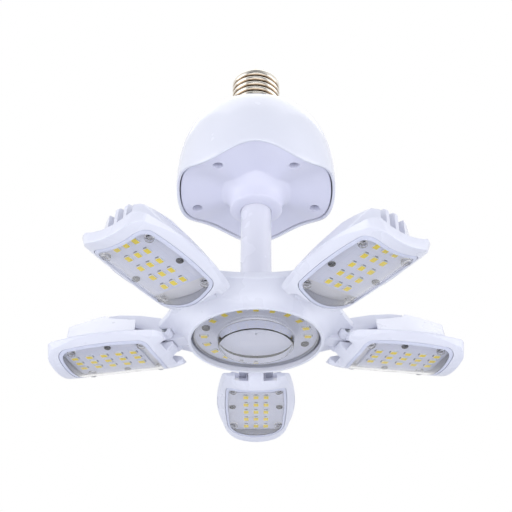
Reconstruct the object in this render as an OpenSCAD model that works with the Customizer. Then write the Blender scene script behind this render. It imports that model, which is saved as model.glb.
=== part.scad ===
/* [Screw base] */
// Radius of the metal screw shell over its thread crests
shell_r = 13.1; // [12.8:0.1:13.4]
// Height of the straight part of the screw shell
shell_h = 21; // [17:0.5:24]
// Height of the rounded shoulder above the straight part
shell_shoulder_h = 2.5; // [1.5:0.25:4]
// Wall of the screw shell
shell_wall = 0.4; // [0.3:0.05:0.6]
// Height of the black insulator above the shell
insulator_h = 3; // [2:0.25:5]
// Radius of the centre contact
contact_r = 4.7; // [3.5:0.1:6]
// Height of the centre contact
contact_h = 1.6; // [1:0.1:2.5]

/* [Driver housing] */
// Radius of the white neck under the screw shell
neck_r = 14.6; // [14:0.1:17]
// Height of the neck
neck_h = 5; // [3:0.5:10]
// Largest radius of the dome
housing_r = 41.6; // [38:0.2:46]
// Height of the dome from its widest line to its top
dome_h = 45.7; // [36:0.5:52]
// Radius of the flat on top of the dome
dome_flat_r = 13; // [10:0.5:20]
// Exponent of the dome outline, 2 is an ellipse
dome_power = 2.4; // [2:0.05:2.8]
// Height of the skirt from the widest line to the mean rim
skirt_h = 4; // [3.4:0.2:8]
// Inward draft of the skirt at the rim
skirt_draft = 0.6; // [0:0.1:1.2]
// Height of each wave of the rim above and below its mean
wave_h = 3; // [1:0.25:3.2]
// Wall of the housing
housing_wall = 1.5; // [1.4:0.1:2.4]
// Wall of the stub that carries the screw shell
stub_wall = 1.6; // [1.2:0.1:2.4]

/* [Housing cover] */
// Depth of the cover behind the rim
cover_recess = 1; // [0.6:0.1:2]
// Thickness of the cover
cover_t = 2.4; // [1.8:0.1:3.5]
// Gap between the cover and the housing wall
cover_gap = 0.2; // [0.1:0.05:0.4]
// Radius where the boss flares into the cover
boss_flare_r = 17; // [16:0.5:19]
// Radius of the boss that holds the stem
boss_r = 13.5; // [12:0.25:14.5]
// Depth of the boss edge below the mean rim
boss_drop = 9.3; // [7:0.1:12]
// Depth of the rounded end of the boss below its edge
boss_crown = 1.8; // [0.5:0.1:2.5]
// Radius of the circle of cover screws
cover_screw_ring_r = 32.5; // [30:0.25:33.5]
// Radius of the well round each cover screw
screw_well_r = 2.6; // [2.4:0.1:3]
// Radius of the posts that take the cover screws
screw_post_r = 3.6; // [3.2:0.1:4.5]

/* [Driver] */
// Radius of the driver circuit board
driver_board_r = 28.5; // [26:0.5:28.5]
// Height of the driver board above the cover seat
driver_board_lift = 8; // [7:0.5:14]
// Length and width of the transformer
transformer_w = 19; // [14:0.5:22]
// Height of the transformer
transformer_h = 17; // [12:0.5:20]
// Radius of the smoothing capacitor
capacitor_r = 5; // [4:0.25:6.5]
// Height of the smoothing capacitor
capacitor_h = 20; // [12:0.5:24]
// Radius of an insulated lead
lead_r = 0.8; // [0.5:0.05:1]

/* [Stem] */
// Outer radius of the stem tube
stem_r = 7.8; // [7:0.1:8.5]
// Wall of the stem tube
stem_wall = 1.2; // [0.8:0.1:1.6]
// Free length of the stem between the boss edge and the hub top
stem_len = 64.7; // [56:0.1:75]
// Gap between the stem tube and the bores that hold it
stem_gap = 0.05; // [0.02:0.01:0.1]
// Radius of the lock nut over its corners
nut_r = 12; // [11:0.25:13]
// Height of the lock nut
nut_h = 4; // [3:0.25:6]

/* [Hub] */
// Radius of the rim round the centre light
rim_r = 32.4; // [32:0.1:34]
// Width of the rim
rim_w = 1.4; // [1:0.1:2]
// Height of the centre chips above the rim edge
rim_drop = 3.5; // [3:0.1:4]
// Radius from the axis to the middle of each concave side
hub_side_r = 42; // [40.5:0.5:44]
// Radius of the concave side arcs
hub_side_arc_r = 81; // [70:1:120]
// Distance from the axis to the corners beside each panel
hub_reach = 45.9; // [44:0.1:46]
// Height of the hub from its rim edge to its flat top
hub_h = 13.3; // [13.2:0.1:13.6]
// Height of the side wall of the hub plate
hub_edge_h = 3.3; // [2.5:0.1:3.6]
// Radius of the hollow under the hub plate
cove_r = 11.1; // [10.8:0.1:12]
// Radius of the boss on the hub that takes the stem
hub_boss_r = 12; // [11:0.25:14]
// Height of the boss above the hub top
hub_boss_h = 7; // [4:0.5:9]
// Depth of the stem socket below the hub top
socket_depth = 2; // [1:0.25:2.5]
// Width of each hinge tongue
tongue_w = 8; // [6:0.25:9]

/* [Hinges] */
// Distance of the hinge pins from the lamp axis
pivot_l = 44; // [43.8:0.1:45]
// Height of the hinge pins above the centre light chips
pivot_z = 6.3; // [6:0.1:6.4]
// Height of the hinge pin above the chips of its panel
pivot_up = 8.35; // [8.1:0.05:8.5]
// Radius of the rounded tongue end and of the knuckles
knuckle_r = 3.3; // [3:0.1:3.4]
// Width of each knuckle
knuckle_w = 4.6; // [3:0.1:5.2]
// Radius of the hinge pin
pin_r = 1.5; // [1.2:0.05:1.75]
// Clearance of the pin in its bores
pin_clear = 0.05; // [0.02:0.01:0.09]
// Gap between the tongue and the knuckles
hinge_gap = 0.3; // [0.2:0.05:0.4]
// Steepest downward tilt that the hinge allows
down_deg = 10; // [5:1:12]

/* [Panels] */
// Tilt of the panel at the far side, tip up is positive
tilt_1 = -4; // [-8:0.5:15]
// Tilt of the next panel clockwise
tilt_2 = 4; // [-8:0.5:15]
// Tilt of the third panel
tilt_3 = 2; // [-8:0.5:15]
// Tilt of the fourth panel
tilt_4 = 5; // [-8:0.5:15]
// Tilt of the fifth panel
tilt_5 = 2.5; // [-8:0.5:15]
// Distance from the lamp axis to the panel tip at zero tilt
tip_l = 104.5; // [101:0.5:112]
// Distance from the lamp axis to the ends of the root ears
ear_l = 41.5; // [41:0.1:41.8]
// Half of the greatest panel width
panel_hw = 20.9; // [20:0.1:22]
// Half of the panel width at the tip
tip_hw = 16.4; // [15.5:0.1:17.5]
// Half of the panel width at the ear ends
ear_hw = 16.8; // [16.5:0.1:18]
// Distance from the lamp axis to the widest line of the panel
wide_l = 74; // [70:0.5:78]
// Radius of the rounded underside of the panel
face_r = 30.5; // [29:0.5:36]
// Depth of the underside below the panel chips at the middle
face_drop = 4.2; // [4:0.1:5]
// Height of the tray top above the panel chips
tray_h = 4.3; // [4:0.1:4.5]
// Lean of the tray sides from upright
side_deg = 20; // [10:1:30]
// Radius of the corners at the tip
tip_corner_r = 6.8; // [4:0.1:8]
// Radius of the corners of the ears
corner_r = 2; // [1:0.1:3]
// Half of the width of the notch between the ears
notch_hw = 10.8; // [10.2:0.1:11.2]
// Distance from the lamp axis to the bottom of the notch at the underside
notch_l = 42.2; // [42:0.1:42.6]
// Height of the ear ends below the tray top
ear_slope = 1.3; // [0.5:0.1:1.8]

/* [Heat sink] */
// Distance from the lamp axis to the root end of the heat sink block
block_root_l = 55; // [53:0.5:58]
// Distance from the panel tip back to the ends of the fins
fin_margin = 6.5; // [5:0.5:10]
// Height of the block at its highest line
ridge_h = 20.3; // [18:0.1:21]
// Distance from the lamp axis to the highest line
ridge_l = 77; // [76:0.5:80]
// Height of the block at the fin ends
fin_tip_h = 15.8; // [13:0.1:17]
// Height of the step behind the highest line
step_h = 17.9; // [16:0.1:18]
// Distance from the lamp axis to the foot of the step
step_l = 74; // [70:0.5:75]
// Height of the block at its root end
block_root_h = 13.8; // [12:0.1:15]
// Slope of the block sides from upright
flank_deg = 36; // [32:0.5:38]
// Distance that the block sides fall back from the fin ends
cheek_back = 8; // [4:0.5:10]
// Width of each fin
fin_w = 1.8; // [1.4:0.1:2.4]
// Distance from fin to fin
fin_pitch = 5; // [4.6:0.1:5.2]
// Height of the floor between the fins above the tray top
slot_floor = 2; // [1:0.25:4]
// Extra height of the two middle fins
mid_fin_rise = 2; // [1:0.1:2.5]
// Half of the width of the arm that runs to the hinge
arm_hw = 5; // [4.6:0.1:5.1]
// Height of the arm at its highest point
arm_h = 22.3; // [21:0.1:22.5]
// Distance from the lamp axis to the highest point of the arm
arm_top_l = 71; // [68:0.5:74]
// Height of the arm at its hinge end
arm_root_h = 17.6; // [16:0.1:17.8]
// Gap between the arm and the tongue end
arm_gap = 0.7; // [0.6:0.05:1]

/* [Panel light] */
// Rows of chips along the panel
chip_rows = 5; // [3:1:5]
// Chips in each row across the panel
chip_cols = 3; // [1:1:3]
// Distance between rows
chip_pitch_l = 7.87; // [6:0.01:8.4]
// Distance between the chips of a row
chip_pitch_s = 5.22; // [4:0.01:5.8]
// Distance from the panel tip back to the middle of the chips
chips_back = 27.8; // [26:0.1:30]
// Length of one chip package
chip_len = 3.5; // [2.8:0.1:3.6]
// Width of one chip package
chip_w = 2.8; // [2:0.1:3]
// Thickness of one chip package
chip_t = 0.7; // [0.5:0.05:0.9]
// Thickness of the circuit boards
board_t = 1.2; // [1:0.1:1.4]
// Distance from the lamp axis to the root end of the panel boards
board_root_l = 57; // [56.2:0.1:58]
// Gap between a board and the lens wall round it
board_gap = 0.3; // [0.2:0.05:0.6]
// Distance from the lamp axis to the root end of the lens
lens_root_l = 47.4; // [47:0.1:48]
// Distance from the panel tip back to the tip end of the lens
lens_margin = 6.8; // [6:0.1:9]
// Half of the lens width at its middle
lens_hw = 16.3; // [15.8:0.1:16.8]
// Half of the lens width at its ends
lens_end_hw = 14.8; // [14.4:0.1:15.2]
// Corner radius of the lens
lens_corner_r = 5.8; // [4:0.1:6]
// Radius of the bowed root end of the lens
lens_bow_r = 30; // [28:0.5:32]
// Thickness of the lenses
lens_t = 1.5; // [1.2:0.1:1.8]
// Gap round the lenses
lens_gap = 0.25; // [0.15:0.05:0.4]
// Distance from the panel middle to the lens pegs
peg_s = 12; // [11.6:0.1:12.2]
// Distance of the pegs from the ends of the lens
peg_in = 6.5; // [6.3:0.1:8]
// Radius of a lens peg
peg_r = 1.5; // [1.2:0.1:1.6]
// Distance of the board screws from the middle of the chips towards the hinge
panel_screw_back = 5; // [2:0.1:7]
// Distance from the panel middle to the board screws
panel_screw_s = 12.2; // [11.8:0.1:12.3]
// Radius of the head of a panel board screw
panel_head_r = 1.7; // [1.4:0.1:1.8]
// Height of the head of a panel board screw
panel_head_h = 0.5; // [0.4:0.05:0.6]

/* [Centre light] */
// Places for chips in the full circle
ring_places = 20; // [16:2:20]
// Radius of the circle of chips
ring_chip_r = 24.6; // [23.8:0.1:25.2]
// Radius of the raised middle of the lens
lens_disc_r = 18; // [17:0.1:18.4]
// Depth of the raised middle below the chips
lens_disc_drop = 6; // [5:0.1:6.6]
// Depth of the flat ring of the lens below the chips
lens_ring_drop = 1.6; // [1.6:0.1:2]
// Radius of a board screw head
screw_head_r = 2; // [1.7:0.1:2.2]
// Height of a board screw head
screw_head_h = 0.7; // [0.5:0.05:0.75]
// Radius of a screw shank
screw_r = 1.1; // [0.9:0.05:1.3]

/* [Hidden] */

$fn = 64;
panels = 5;
turn = 360 / panels;
tilts = [tilt_1, tilt_2, tilt_3, tilt_4, tilt_5];
cut = 1; // how far a cutting shape runs past what it cuts
round_fn = 240; // steps of the large arcs
wave_steps = 20; // steps in each wave of the rim
dome_steps = 24; // steps of the dome outline
corner_steps = 6; // steps of a small corner
side_steps = 8; // steps of a long gentle curve

// Heights from the bottom edge of the screw shell downwards
wide_z = -neck_h - dome_h;
rim_z = wide_z - skirt_h;
boss_z = rim_z - boss_drop;
hub_top_z = boss_z - stem_len;
rim_edge_z = hub_top_z - hub_h;
chips_z = rim_edge_z + rim_drop;
pivot_at = chips_z + pivot_z;
plate_z = hub_top_z - hub_edge_h;

// Base
shell_fit = 0.05; // gap between shell and stub
stub_r = shell_r - shell_wall - shell_fit;
stub_h = shell_h - 2;
shoulder_r = shell_r - shell_shoulder_h; // opening edge of the shell
contact_edge = 0.5; // round edge of the contact
insulator_lip = 1; // width of the insulator's flat edge
insulator_lip_h = 0.6; // height at which it starts to slope

// Cover and what it carries
cover_seat_z = rim_z + cover_recess + cover_t + wave_h;
post_z = cover_seat_z + 1;
cover_r = housing_r - housing_wall - skirt_draft - cover_gap;
cover_head_r = 2.2; // cover screw head
cover_head_h = 1.8;
cover_screw_r = 1.5;
cover_screw_len = 12;
well_floor_t = 3.4; // floor under the head of a cover screw
head_z = post_z - well_floor_t;
driver_z = cover_seat_z + driver_board_lift;
board_post_ring_r = driver_board_r - 5;
board_post_r = 3;
board_posts = 3;
first_post = 30; // angle of the first post
capacitor_ring_r = driver_board_r - 11;

// Stem
stem_bore_r = stem_r - stem_wall;
stem_top_z = cover_seat_z + nut_h + 1;
stem_foot_z = hub_top_z - socket_depth;

// Hub
ceiling_h = chip_t + board_t; // board back above the chips
hub_lens_r = rim_r - rim_w - lens_gap;
hub_board_r = hub_lens_r - lens_t - board_gap;
knuckle_out = tongue_w / 2 + hinge_gap + knuckle_w;
knuckle_room = 0.4; // gap round the knuckles in the hub
tongue_drop = 6.8; // depth of the tongue below the pin
arm_root_l = pivot_l + knuckle_r + arm_gap;
lens_round = 0.8; // rounded edge of the centre lens
disc_draft = 0.5; // slope of the side of its raised middle
screw_angles = [108, 288]; // from the near side anticlockwise seen from below
gap_angles = [99, 171]; // stretch of the chip circle that stays empty

// Panels
fin_tip_l = tip_l - fin_margin;
lens_tip_l = tip_l - lens_margin;
chips_l = tip_l - chips_back;
panel_screw_l = chips_l - panel_screw_back;
tip_arc_r = arc_radius(tip_l - wide_l, panel_hw - tip_hw);
root_arc_r = arc_radius(wide_l - ear_l, panel_hw - ear_hw);
root_wall = 1; // metal between the lens and the notch
notch_wall_l = lens_root_l - lens_gap - root_wall;
notch_wall_h = ceiling_h + 0.3;
notch_top_l = notch_wall_l + 3.2;
tongue_toe = (notch_wall_l - pivot_l) * cos(down_deg) - (pivot_up - notch_wall_h) * sin(down_deg) - 1.5;
board_inset = lens_t + board_gap;
hole_clear = 0.4; // gap round pegs in the board
peg_depth = 1.2; // depth of the peg sockets in the casting
screw_depth = 2; // depth of a board screw in the metal
seat_gap = 0.1; // gap between a panel board and the ledge in its lens
head_gap = 0.2; // gap between a screw head and its pocket in the lens

// Radius of an arc that falls by sag over the given reach
function arc_radius(reach, sag) = (reach * reach + sag * sag) / (2 * sag);

// Half width of a panel at distance l from the lamp axis
function half_width(l) =
    let (r = l > wide_l ? tip_arc_r : root_arc_r)
    panel_hw - r + sqrt(r * r - (l - wide_l) * (l - wide_l));

// Points of an arc round a centre, from one angle to another
function arc(c, r, from, to, steps) =
    [for (k = [0:steps]) let (a = from + (to - from) * k / steps) c + r * [cos(a), sin(a)]];

// Half width of the lens outline at distance l from the lamp axis
function lens_half(l) =
    let (mid = (lens_root_l + lens_tip_l) / 2, reach = (lens_tip_l - lens_root_l) / 2)
    lens_hw - (lens_hw - lens_end_hw) * pow((l - mid) / reach, 2);

// One long side of the lens outline, drawn in by inset, from root to tip
function lens_side(inset) =
    let (r = lens_corner_r - inset, l0 = lens_root_l + lens_corner_r, l1 = lens_tip_l - lens_corner_r)
    concat(
        arc([l0, lens_half(l0) - lens_corner_r], r, 180, 90, corner_steps),
        [for (k = [1:side_steps - 1])
            let (l = l0 + (l1 - l0) * k / side_steps)
            [l, lens_half(l) - inset]],
        arc([l1, lens_half(l1) - lens_corner_r], r, 90, 0, corner_steps)
    );

function mirrored(points) = [for (k = [len(points) - 1:-1:0]) [points[k][0], -points[k][1]]];

// Point k of the dome outline, drawn in by the given wall
function dome_point(k, wall) =
    let (a = 90 * k / dome_steps)
    [dome_flat_r + (housing_r - wall - dome_flat_r) * pow(cos(a), 2 / dome_power),
     wide_z + (dome_h - wall) * pow(sin(a), 2 / dome_power)];

function dome_outline(wall) =
    concat(
        [[0, rim_z - 2 * wave_h], [housing_r - wall - skirt_draft, rim_z - 2 * wave_h]],
        [for (k = [0:dome_steps]) dome_point(k, wall)],
        [[0, wide_z + dome_h - wall]]
    );

// Solid below the waved rim surface, which is lifted by rise
module below_rim(rise) {
    n = wave_steps * panels;
    r = housing_r + cut;
    floor_z = rim_z - 3 * wave_h - cut;
    top = [for (k = [0:n - 1])
        let (a = 360 * k / n)
        [r * sin(a), r * cos(a), rim_z + rise - wave_h * r / housing_r * cos(panels * a)]];
    low = [for (p = top) [p[0], p[1], floor_z]];
    polyhedron(
        points = concat([[0, 0, rim_z + rise], [0, 0, floor_z]], top, low),
        faces = concat(
            [for (k = [0:n - 1]) [0, 2 + k, 2 + (k + 1) % n]],
            [for (k = [0:n - 1]) [1, 2 + n + (k + 1) % n, 2 + n + k]],
            [for (k = [0:n - 1]) [2 + k, 2 + n + k, 2 + n + (k + 1) % n, 2 + (k + 1) % n]]
        )
    );
}

// Puts a shape at each panel, with +X pointing away from the lamp axis
module at_each_panel() {
    for (i = [0:panels - 1]) rotate([0, 0, 90 - i * turn]) children();
}

// Puts a shape on panel i: X is the distance from the lamp axis, Z the height over the panel chips
module on_panel(i) {
    rotate([0, 0, 90 - i * turn])
        translate([pivot_l, 0, pivot_at])
        rotate([0, -tilts[i], 0])
        translate([-pivot_l, 0, -pivot_up])
        children();
}

// Straight bar across a panel with the given side view
module across(points, width) {
    rotate([90, 0, 0]) linear_extrude(height = width, center = true) polygon(points);
}

module screw_shell() {
    color("#C9C6BE") rotate_extrude() polygon(concat(
        [[shell_r - shell_wall, 0], [shell_r, 0]],
        arc([shoulder_r, shell_h], shell_shoulder_h, 0, 90, corner_steps),
        arc([shoulder_r, shell_h], shell_shoulder_h - shell_wall, 90, 0, corner_steps)
    ));
}

module base_insulator() {
    top_z = shell_h + shell_shoulder_h;
    color("#1E1E20") difference() {
        rotate_extrude() polygon([
            [0, top_z - shell_shoulder_h / 2], [shoulder_r - shell_fit, top_z - shell_shoulder_h / 2],
            [shoulder_r - shell_fit, top_z], [shoulder_r, top_z], [shoulder_r - insulator_lip, top_z + insulator_lip_h],
            [contact_r + 1, top_z + insulator_h], [0, top_z + insulator_h]]);
        translate([contact_r / 2, 0, 0]) cylinder(h = top_z + insulator_h + cut, r = lead_r + hole_clear);
    }
}

module centre_contact() {
    z = shell_h + shell_shoulder_h + insulator_h;
    color("#D8D6D0") rotate_extrude() polygon(concat(
        [[0, z], [contact_r, z]],
        arc([contact_r - contact_edge, z + contact_h - contact_edge], contact_edge, 0, 90, corner_steps),
        [[0, z + contact_h]]
    ));
}

module driver_housing() {
    color("#F2F2F8") difference() {
        union() {
            difference() {
                rotate_extrude($fn = round_fn) polygon(dome_outline(0));
                rotate_extrude($fn = round_fn) polygon(dome_outline(housing_wall));
            }
            intersection() {
                rotate_extrude() polygon(dome_outline(housing_wall / 2));
                at_each_panel() translate([cover_screw_ring_r, 0, post_z]) cylinder(h = dome_h, r = screw_post_r);
            }
            translate([0, 0, -neck_h - housing_wall / 2]) cylinder(h = neck_h + housing_wall / 2, r = neck_r);
            cylinder(h = stub_h, r = stub_r);
        }
        below_rim(0);
        translate([0, 0, -neck_h - housing_wall - cut]) cylinder(h = neck_h + housing_wall + stub_h + 2 * cut, r = stub_r - stub_wall);
        at_each_panel() translate([cover_screw_ring_r, 0, post_z - cut])
            cylinder(h = cover_screw_len, r = cover_screw_r);
    }
}

// Cover: a waved disc with the stem boss below and the seats for its screws and board above
module housing_cover() {
    flare = [for (k = [0:side_steps])
        let (u = k / side_steps)
        [boss_r + (boss_flare_r - boss_r) * u * u, boss_z + (rim_z + cover_recess - boss_z) * u]];
    crown_in = stem_r + 0.6;
    crown = [for (k = [0:side_steps - 1])
        let (a = 90 * k / side_steps)
        [crown_in + (boss_r - crown_in) * sin(a), boss_z - boss_crown * cos(a)]];
    color("#DCE4EE") difference() {
        union() {
            intersection() {
                translate([0, 0, rim_z - 2 * wave_h]) cylinder(h = 4 * wave_h + cover_t, r = cover_r, $fn = round_fn);
                difference() {
                    below_rim(cover_recess + cover_t);
                    below_rim(cover_recess);
                }
            }
            rotate_extrude() polygon(concat(
                [[0, cover_seat_z], [0, boss_z - boss_crown]],
                crown,
                flare,
                [[boss_flare_r, cover_seat_z]]
            ));
            difference() {
                union() {
                    at_each_panel() translate([cover_screw_ring_r, 0, rim_z - wave_h])
                        cylinder(h = post_z - rim_z + wave_h, r = screw_post_r);
                    for (k = [0:board_posts - 1]) rotate(first_post + 360 / board_posts * k)
                        translate([board_post_ring_r, 0, rim_z - wave_h])
                        cylinder(h = driver_z - rim_z + wave_h, r = board_post_r);
                }
                below_rim(cover_recess);
            }
        }
        translate([0, 0, boss_z - 2 * boss_crown]) cylinder(h = 60, r = stem_r + stem_gap);
        at_each_panel() translate([cover_screw_ring_r, 0, rim_z - 2 * wave_h]) {
            cylinder(h = head_z - rim_z + 2 * wave_h, r = screw_well_r);
            cylinder(h = post_z - rim_z + 2 * wave_h + cut, r = cover_screw_r + pin_clear);
        }
        for (k = [0:board_posts - 1]) rotate(first_post + 360 / board_posts * k)
            translate([board_post_ring_r, 0, driver_z - screw_depth]) cylinder(h = screw_depth + cut, r = screw_r);
    }
}

module cover_screws() {
    color("#8C9096") at_each_panel() translate([cover_screw_ring_r, 0, head_z]) {
        translate([0, 0, -cover_head_h]) cylinder(h = cover_head_h, r = cover_head_r);
        cylinder(h = well_floor_t + cover_screw_len - 2 * cut, r = cover_screw_r);
    }
}

module driver_board() {
    color("#3F7A52") difference() {
        translate([0, 0, driver_z]) cylinder(h = board_t, r = driver_board_r);
        for (k = [0:board_posts - 1]) rotate(first_post + 360 / board_posts * k)
            translate([board_post_ring_r, 0, driver_z - cut]) cylinder(h = board_t + 2 * cut, r = screw_r + pin_clear);
    }
}

module driver_board_screws() {
    color("#9A9CA2") for (k = [0:board_posts - 1]) rotate(first_post + 360 / board_posts * k)
        translate([board_post_ring_r, 0, driver_z + board_t]) {
            cylinder(h = screw_head_h, r = screw_head_r);
            translate([0, 0, -board_t - screw_depth]) cylinder(h = board_t + screw_depth, r = screw_r);
        }
}

module driver_transformer() {
    z = driver_z + board_t;
    core_t = transformer_w / 3;
    leg_w = transformer_w / 6;
    color("#3A3A3E") translate([-transformer_w / 2 - contact_r / 2, 0, z]) {
        difference() {
            translate([-transformer_w / 2, -core_t / 2, 0]) cube([transformer_w, core_t, transformer_h]);
            translate([leg_w - transformer_w / 2, -core_t, leg_w])
                cube([transformer_w - 2 * leg_w, 2 * core_t, transformer_h - 2 * leg_w]);
        }
        translate([0, 0, leg_w / 2]) cylinder(h = transformer_h - leg_w, r = transformer_w / 2 - leg_w / 2);
    }
}

module driver_capacitors() {
    z = driver_z + board_t;
    color("#26324A") {
        rotate(60) translate([capacitor_ring_r, 0, z]) cylinder(h = capacitor_h, r = capacitor_r);
        rotate(-60) translate([capacitor_ring_r, 0, z]) cylinder(h = capacitor_h * 0.6, r = capacitor_r * 1.2);
    }
}

// Two leads to the screw base and two down the stem to the centre light
module supply_leads() {
    up_z = driver_z + board_t;
    neutral_x = stub_r - stub_wall - 2 * lead_r;
    neutral_z = stub_h + lead_r + hole_clear / 2;
    color("#B03A34") {
        translate([contact_r / 2, 0, up_z])
            cylinder(h = shell_h + shell_shoulder_h + insulator_h - up_z, r = lead_r);
        translate([neutral_x, 0, up_z]) cylinder(h = neutral_z - up_z, r = lead_r);
        translate([neutral_x, 0, neutral_z]) sphere(r = lead_r);
        translate([neutral_x, 0, neutral_z]) rotate([0, 90, 0])
            cylinder(h = shell_r - shell_wall - shell_fit - neutral_x, r = lead_r);
        for (m = [-1, 1]) translate([0, m * stem_bore_r / 2, chips_z + ceiling_h])
            cylinder(h = driver_z - chips_z - ceiling_h, r = lead_r);
    }
}

module stem_tube() {
    color("#ECECF4") difference() {
        translate([0, 0, stem_foot_z]) cylinder(h = stem_top_z - stem_foot_z, r = stem_r);
        translate([0, 0, stem_foot_z - cut]) cylinder(h = stem_top_z - stem_foot_z + 2 * cut, r = stem_bore_r);
    }
}

module stem_nut() {
    color("#B9BBC0") difference() {
        translate([0, 0, cover_seat_z]) cylinder(h = nut_h, r = nut_r, $fn = 6);
        translate([0, 0, cover_seat_z - cut]) cylinder(h = nut_h + 2 * cut, r = stem_r + stem_gap);
    }
}

// Hub: a five sided plate over a hollowed ring, with a hinge tongue for each panel
module hub() {
    body_r = rim_r + cove_r;
    notch_l0 = pivot_l - knuckle_r - knuckle_room;
    color("#E9EAF6") difference() {
        union() {
            difference() {
                intersection() {
                    union() {
                        translate([0, 0, rim_edge_z]) cylinder(h = hub_h, r = body_r, $fn = round_fn);
                        translate([0, 0, plate_z]) cylinder(h = hub_edge_h, r = 2 * hub_reach);
                    }
                    translate([0, 0, rim_edge_z]) rotate(90 - turn / 2)
                        cylinder(h = hub_h, r = hub_reach / cos(turn / 2), $fn = panels);
                }
                rotate_extrude($fn = round_fn) translate([body_r, plate_z - cove_r]) circle(r = cove_r, $fn = round_fn);
                rotate(turn / 2) at_each_panel()
                    translate([hub_side_r + hub_side_arc_r, 0, rim_edge_z - cut])
                    cylinder(h = hub_h + 2 * cut, r = hub_side_arc_r, $fn = round_fn);
                at_each_panel() translate([notch_l0, -knuckle_out - knuckle_room, rim_edge_z - cut])
                    cube([hub_reach, 2 * (knuckle_out + knuckle_room), hub_h + 2 * cut]);
            }
            at_each_panel() translate([pivot_l, 0, pivot_at]) {
                across([[rim_r - rim_w - pivot_l, knuckle_r], [rim_r - rim_w - pivot_l, -tongue_drop],
                    [tongue_toe, -tongue_drop], [knuckle_r * 0.6, -tongue_drop * 0.68],
                    [knuckle_r * 0.8, -knuckle_r * 0.6], [0, knuckle_r]], tongue_w);
                rotate([90, 0, 0]) cylinder(h = tongue_w, r = knuckle_r, center = true);
            }
            translate([0, 0, hub_top_z - cut]) cylinder(h = hub_boss_h + cut, r = hub_boss_r);
        }
        at_each_panel() translate([pivot_l, 0, pivot_at]) rotate([90, 0, 0])
            cylinder(h = tongue_w + 2 * cut, r = pin_r + pin_clear, center = true);
        translate([0, 0, rim_edge_z - cut]) cylinder(h = rim_drop + ceiling_h + cut, r = rim_r - rim_w, $fn = round_fn);
        translate([0, 0, chips_z + ceiling_h - cut]) cylinder(h = hub_top_z - socket_depth - 2 - chips_z - ceiling_h + cut, r = 2 * stem_r);
        translate([0, 0, chips_z]) cylinder(h = hub_h, r = stem_bore_r);
        translate([0, 0, stem_foot_z]) cylinder(h = hub_h + hub_boss_h, r = stem_r + stem_gap);
        for (a = screw_angles) rotate(a - 90) translate([ring_chip_r, 0, chips_z + ceiling_h - cut])
            cylinder(h = screw_depth + cut, r = screw_r);
    }
}

module hub_board() {
    color("#D3D5E6") difference() {
        translate([0, 0, chips_z + chip_t]) cylinder(h = board_t, r = hub_board_r, $fn = round_fn);
        for (a = screw_angles) rotate(a - 90) translate([ring_chip_r, 0, chips_z])
            cylinder(h = ceiling_h + cut, r = screw_r + pin_clear);
    }
}

module hub_chips() {
    color("#E6D21E") for (k = [0:ring_places - 1]) {
        a = 360 * k / ring_places;
        empty = a > gap_angles[0] && a < gap_angles[1];
        screwed = min([for (s = screw_angles) abs(a - s)]) < 9;
        if (!empty && !screwed) rotate(a - 90)
            translate([ring_chip_r - chip_len / 2, -chip_w / 2, chips_z]) cube([chip_len, chip_w, chip_t]);
    }
}

module hub_lens() {
    z = chips_z;
    wall_r = hub_lens_r - lens_t;
    color([0.86, 0.88, 0.96, 0.5]) rotate_extrude($fn = round_fn) polygon(concat(
        [[0, z - lens_disc_drop]],
        arc([lens_disc_r - lens_round, z - lens_disc_drop + lens_round], lens_round, -90, -10, corner_steps),
        [[lens_disc_r + disc_draft, z - lens_ring_drop]],
        arc([hub_lens_r - lens_round, z - lens_ring_drop + lens_round], lens_round, -90, 0, corner_steps),
        [[hub_lens_r, z + ceiling_h], [wall_r, z + ceiling_h], [wall_r, z - lens_ring_drop + lens_t]],
        [[lens_disc_r - lens_t + disc_draft, z - lens_ring_drop + lens_t],
         [lens_disc_r - lens_t, z - lens_disc_drop + lens_t], [0, z - lens_disc_drop + lens_t]]
    ));
}

module hub_board_screws() {
    color("#4A4C56") for (a = screw_angles) rotate(a - 90) translate([ring_chip_r, 0, chips_z + chip_t]) {
        translate([0, 0, -screw_head_h]) cylinder(h = screw_head_h, r = screw_head_r);
        cylinder(h = board_t + screw_depth, r = screw_r);
    }
}

// Space between the two curved sides of a panel. The sides move inwards by slope for each
// millimetre above or below the tray top.
module between_sides(h0, h1, slope) {
    for (half = [[root_arc_r, wide_l - tip_l], [tip_arc_r, 0]]) {
        r0 = half[0] - slope * abs(h0 - tray_h);
        r1 = half[0] - slope * abs(h1 - tray_h);
        intersection() {
            translate([wide_l + half[1], -2 * panel_hw, h0]) cube([tip_l - wide_l + (half[1] < 0 ? 0 : cut), 4 * panel_hw, h1 - h0]);
            translate([wide_l, half[0] - panel_hw, h0]) cylinder(h = h1 - h0, r1 = r0, r2 = r1, $fn = round_fn);
            translate([wide_l, panel_hw - half[0], h0]) cylinder(h = h1 - h0, r1 = r0, r2 = r1, $fn = round_fn);
        }
    }
}

// Rounded underside shared by the tray and the lens, drawn in by inset
module face_round(inset) {
    translate([0, 0, face_r - face_drop]) rotate([0, 90, 0]) cylinder(h = tip_l + cut, r = face_r - inset, $fn = round_fn);
}

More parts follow.
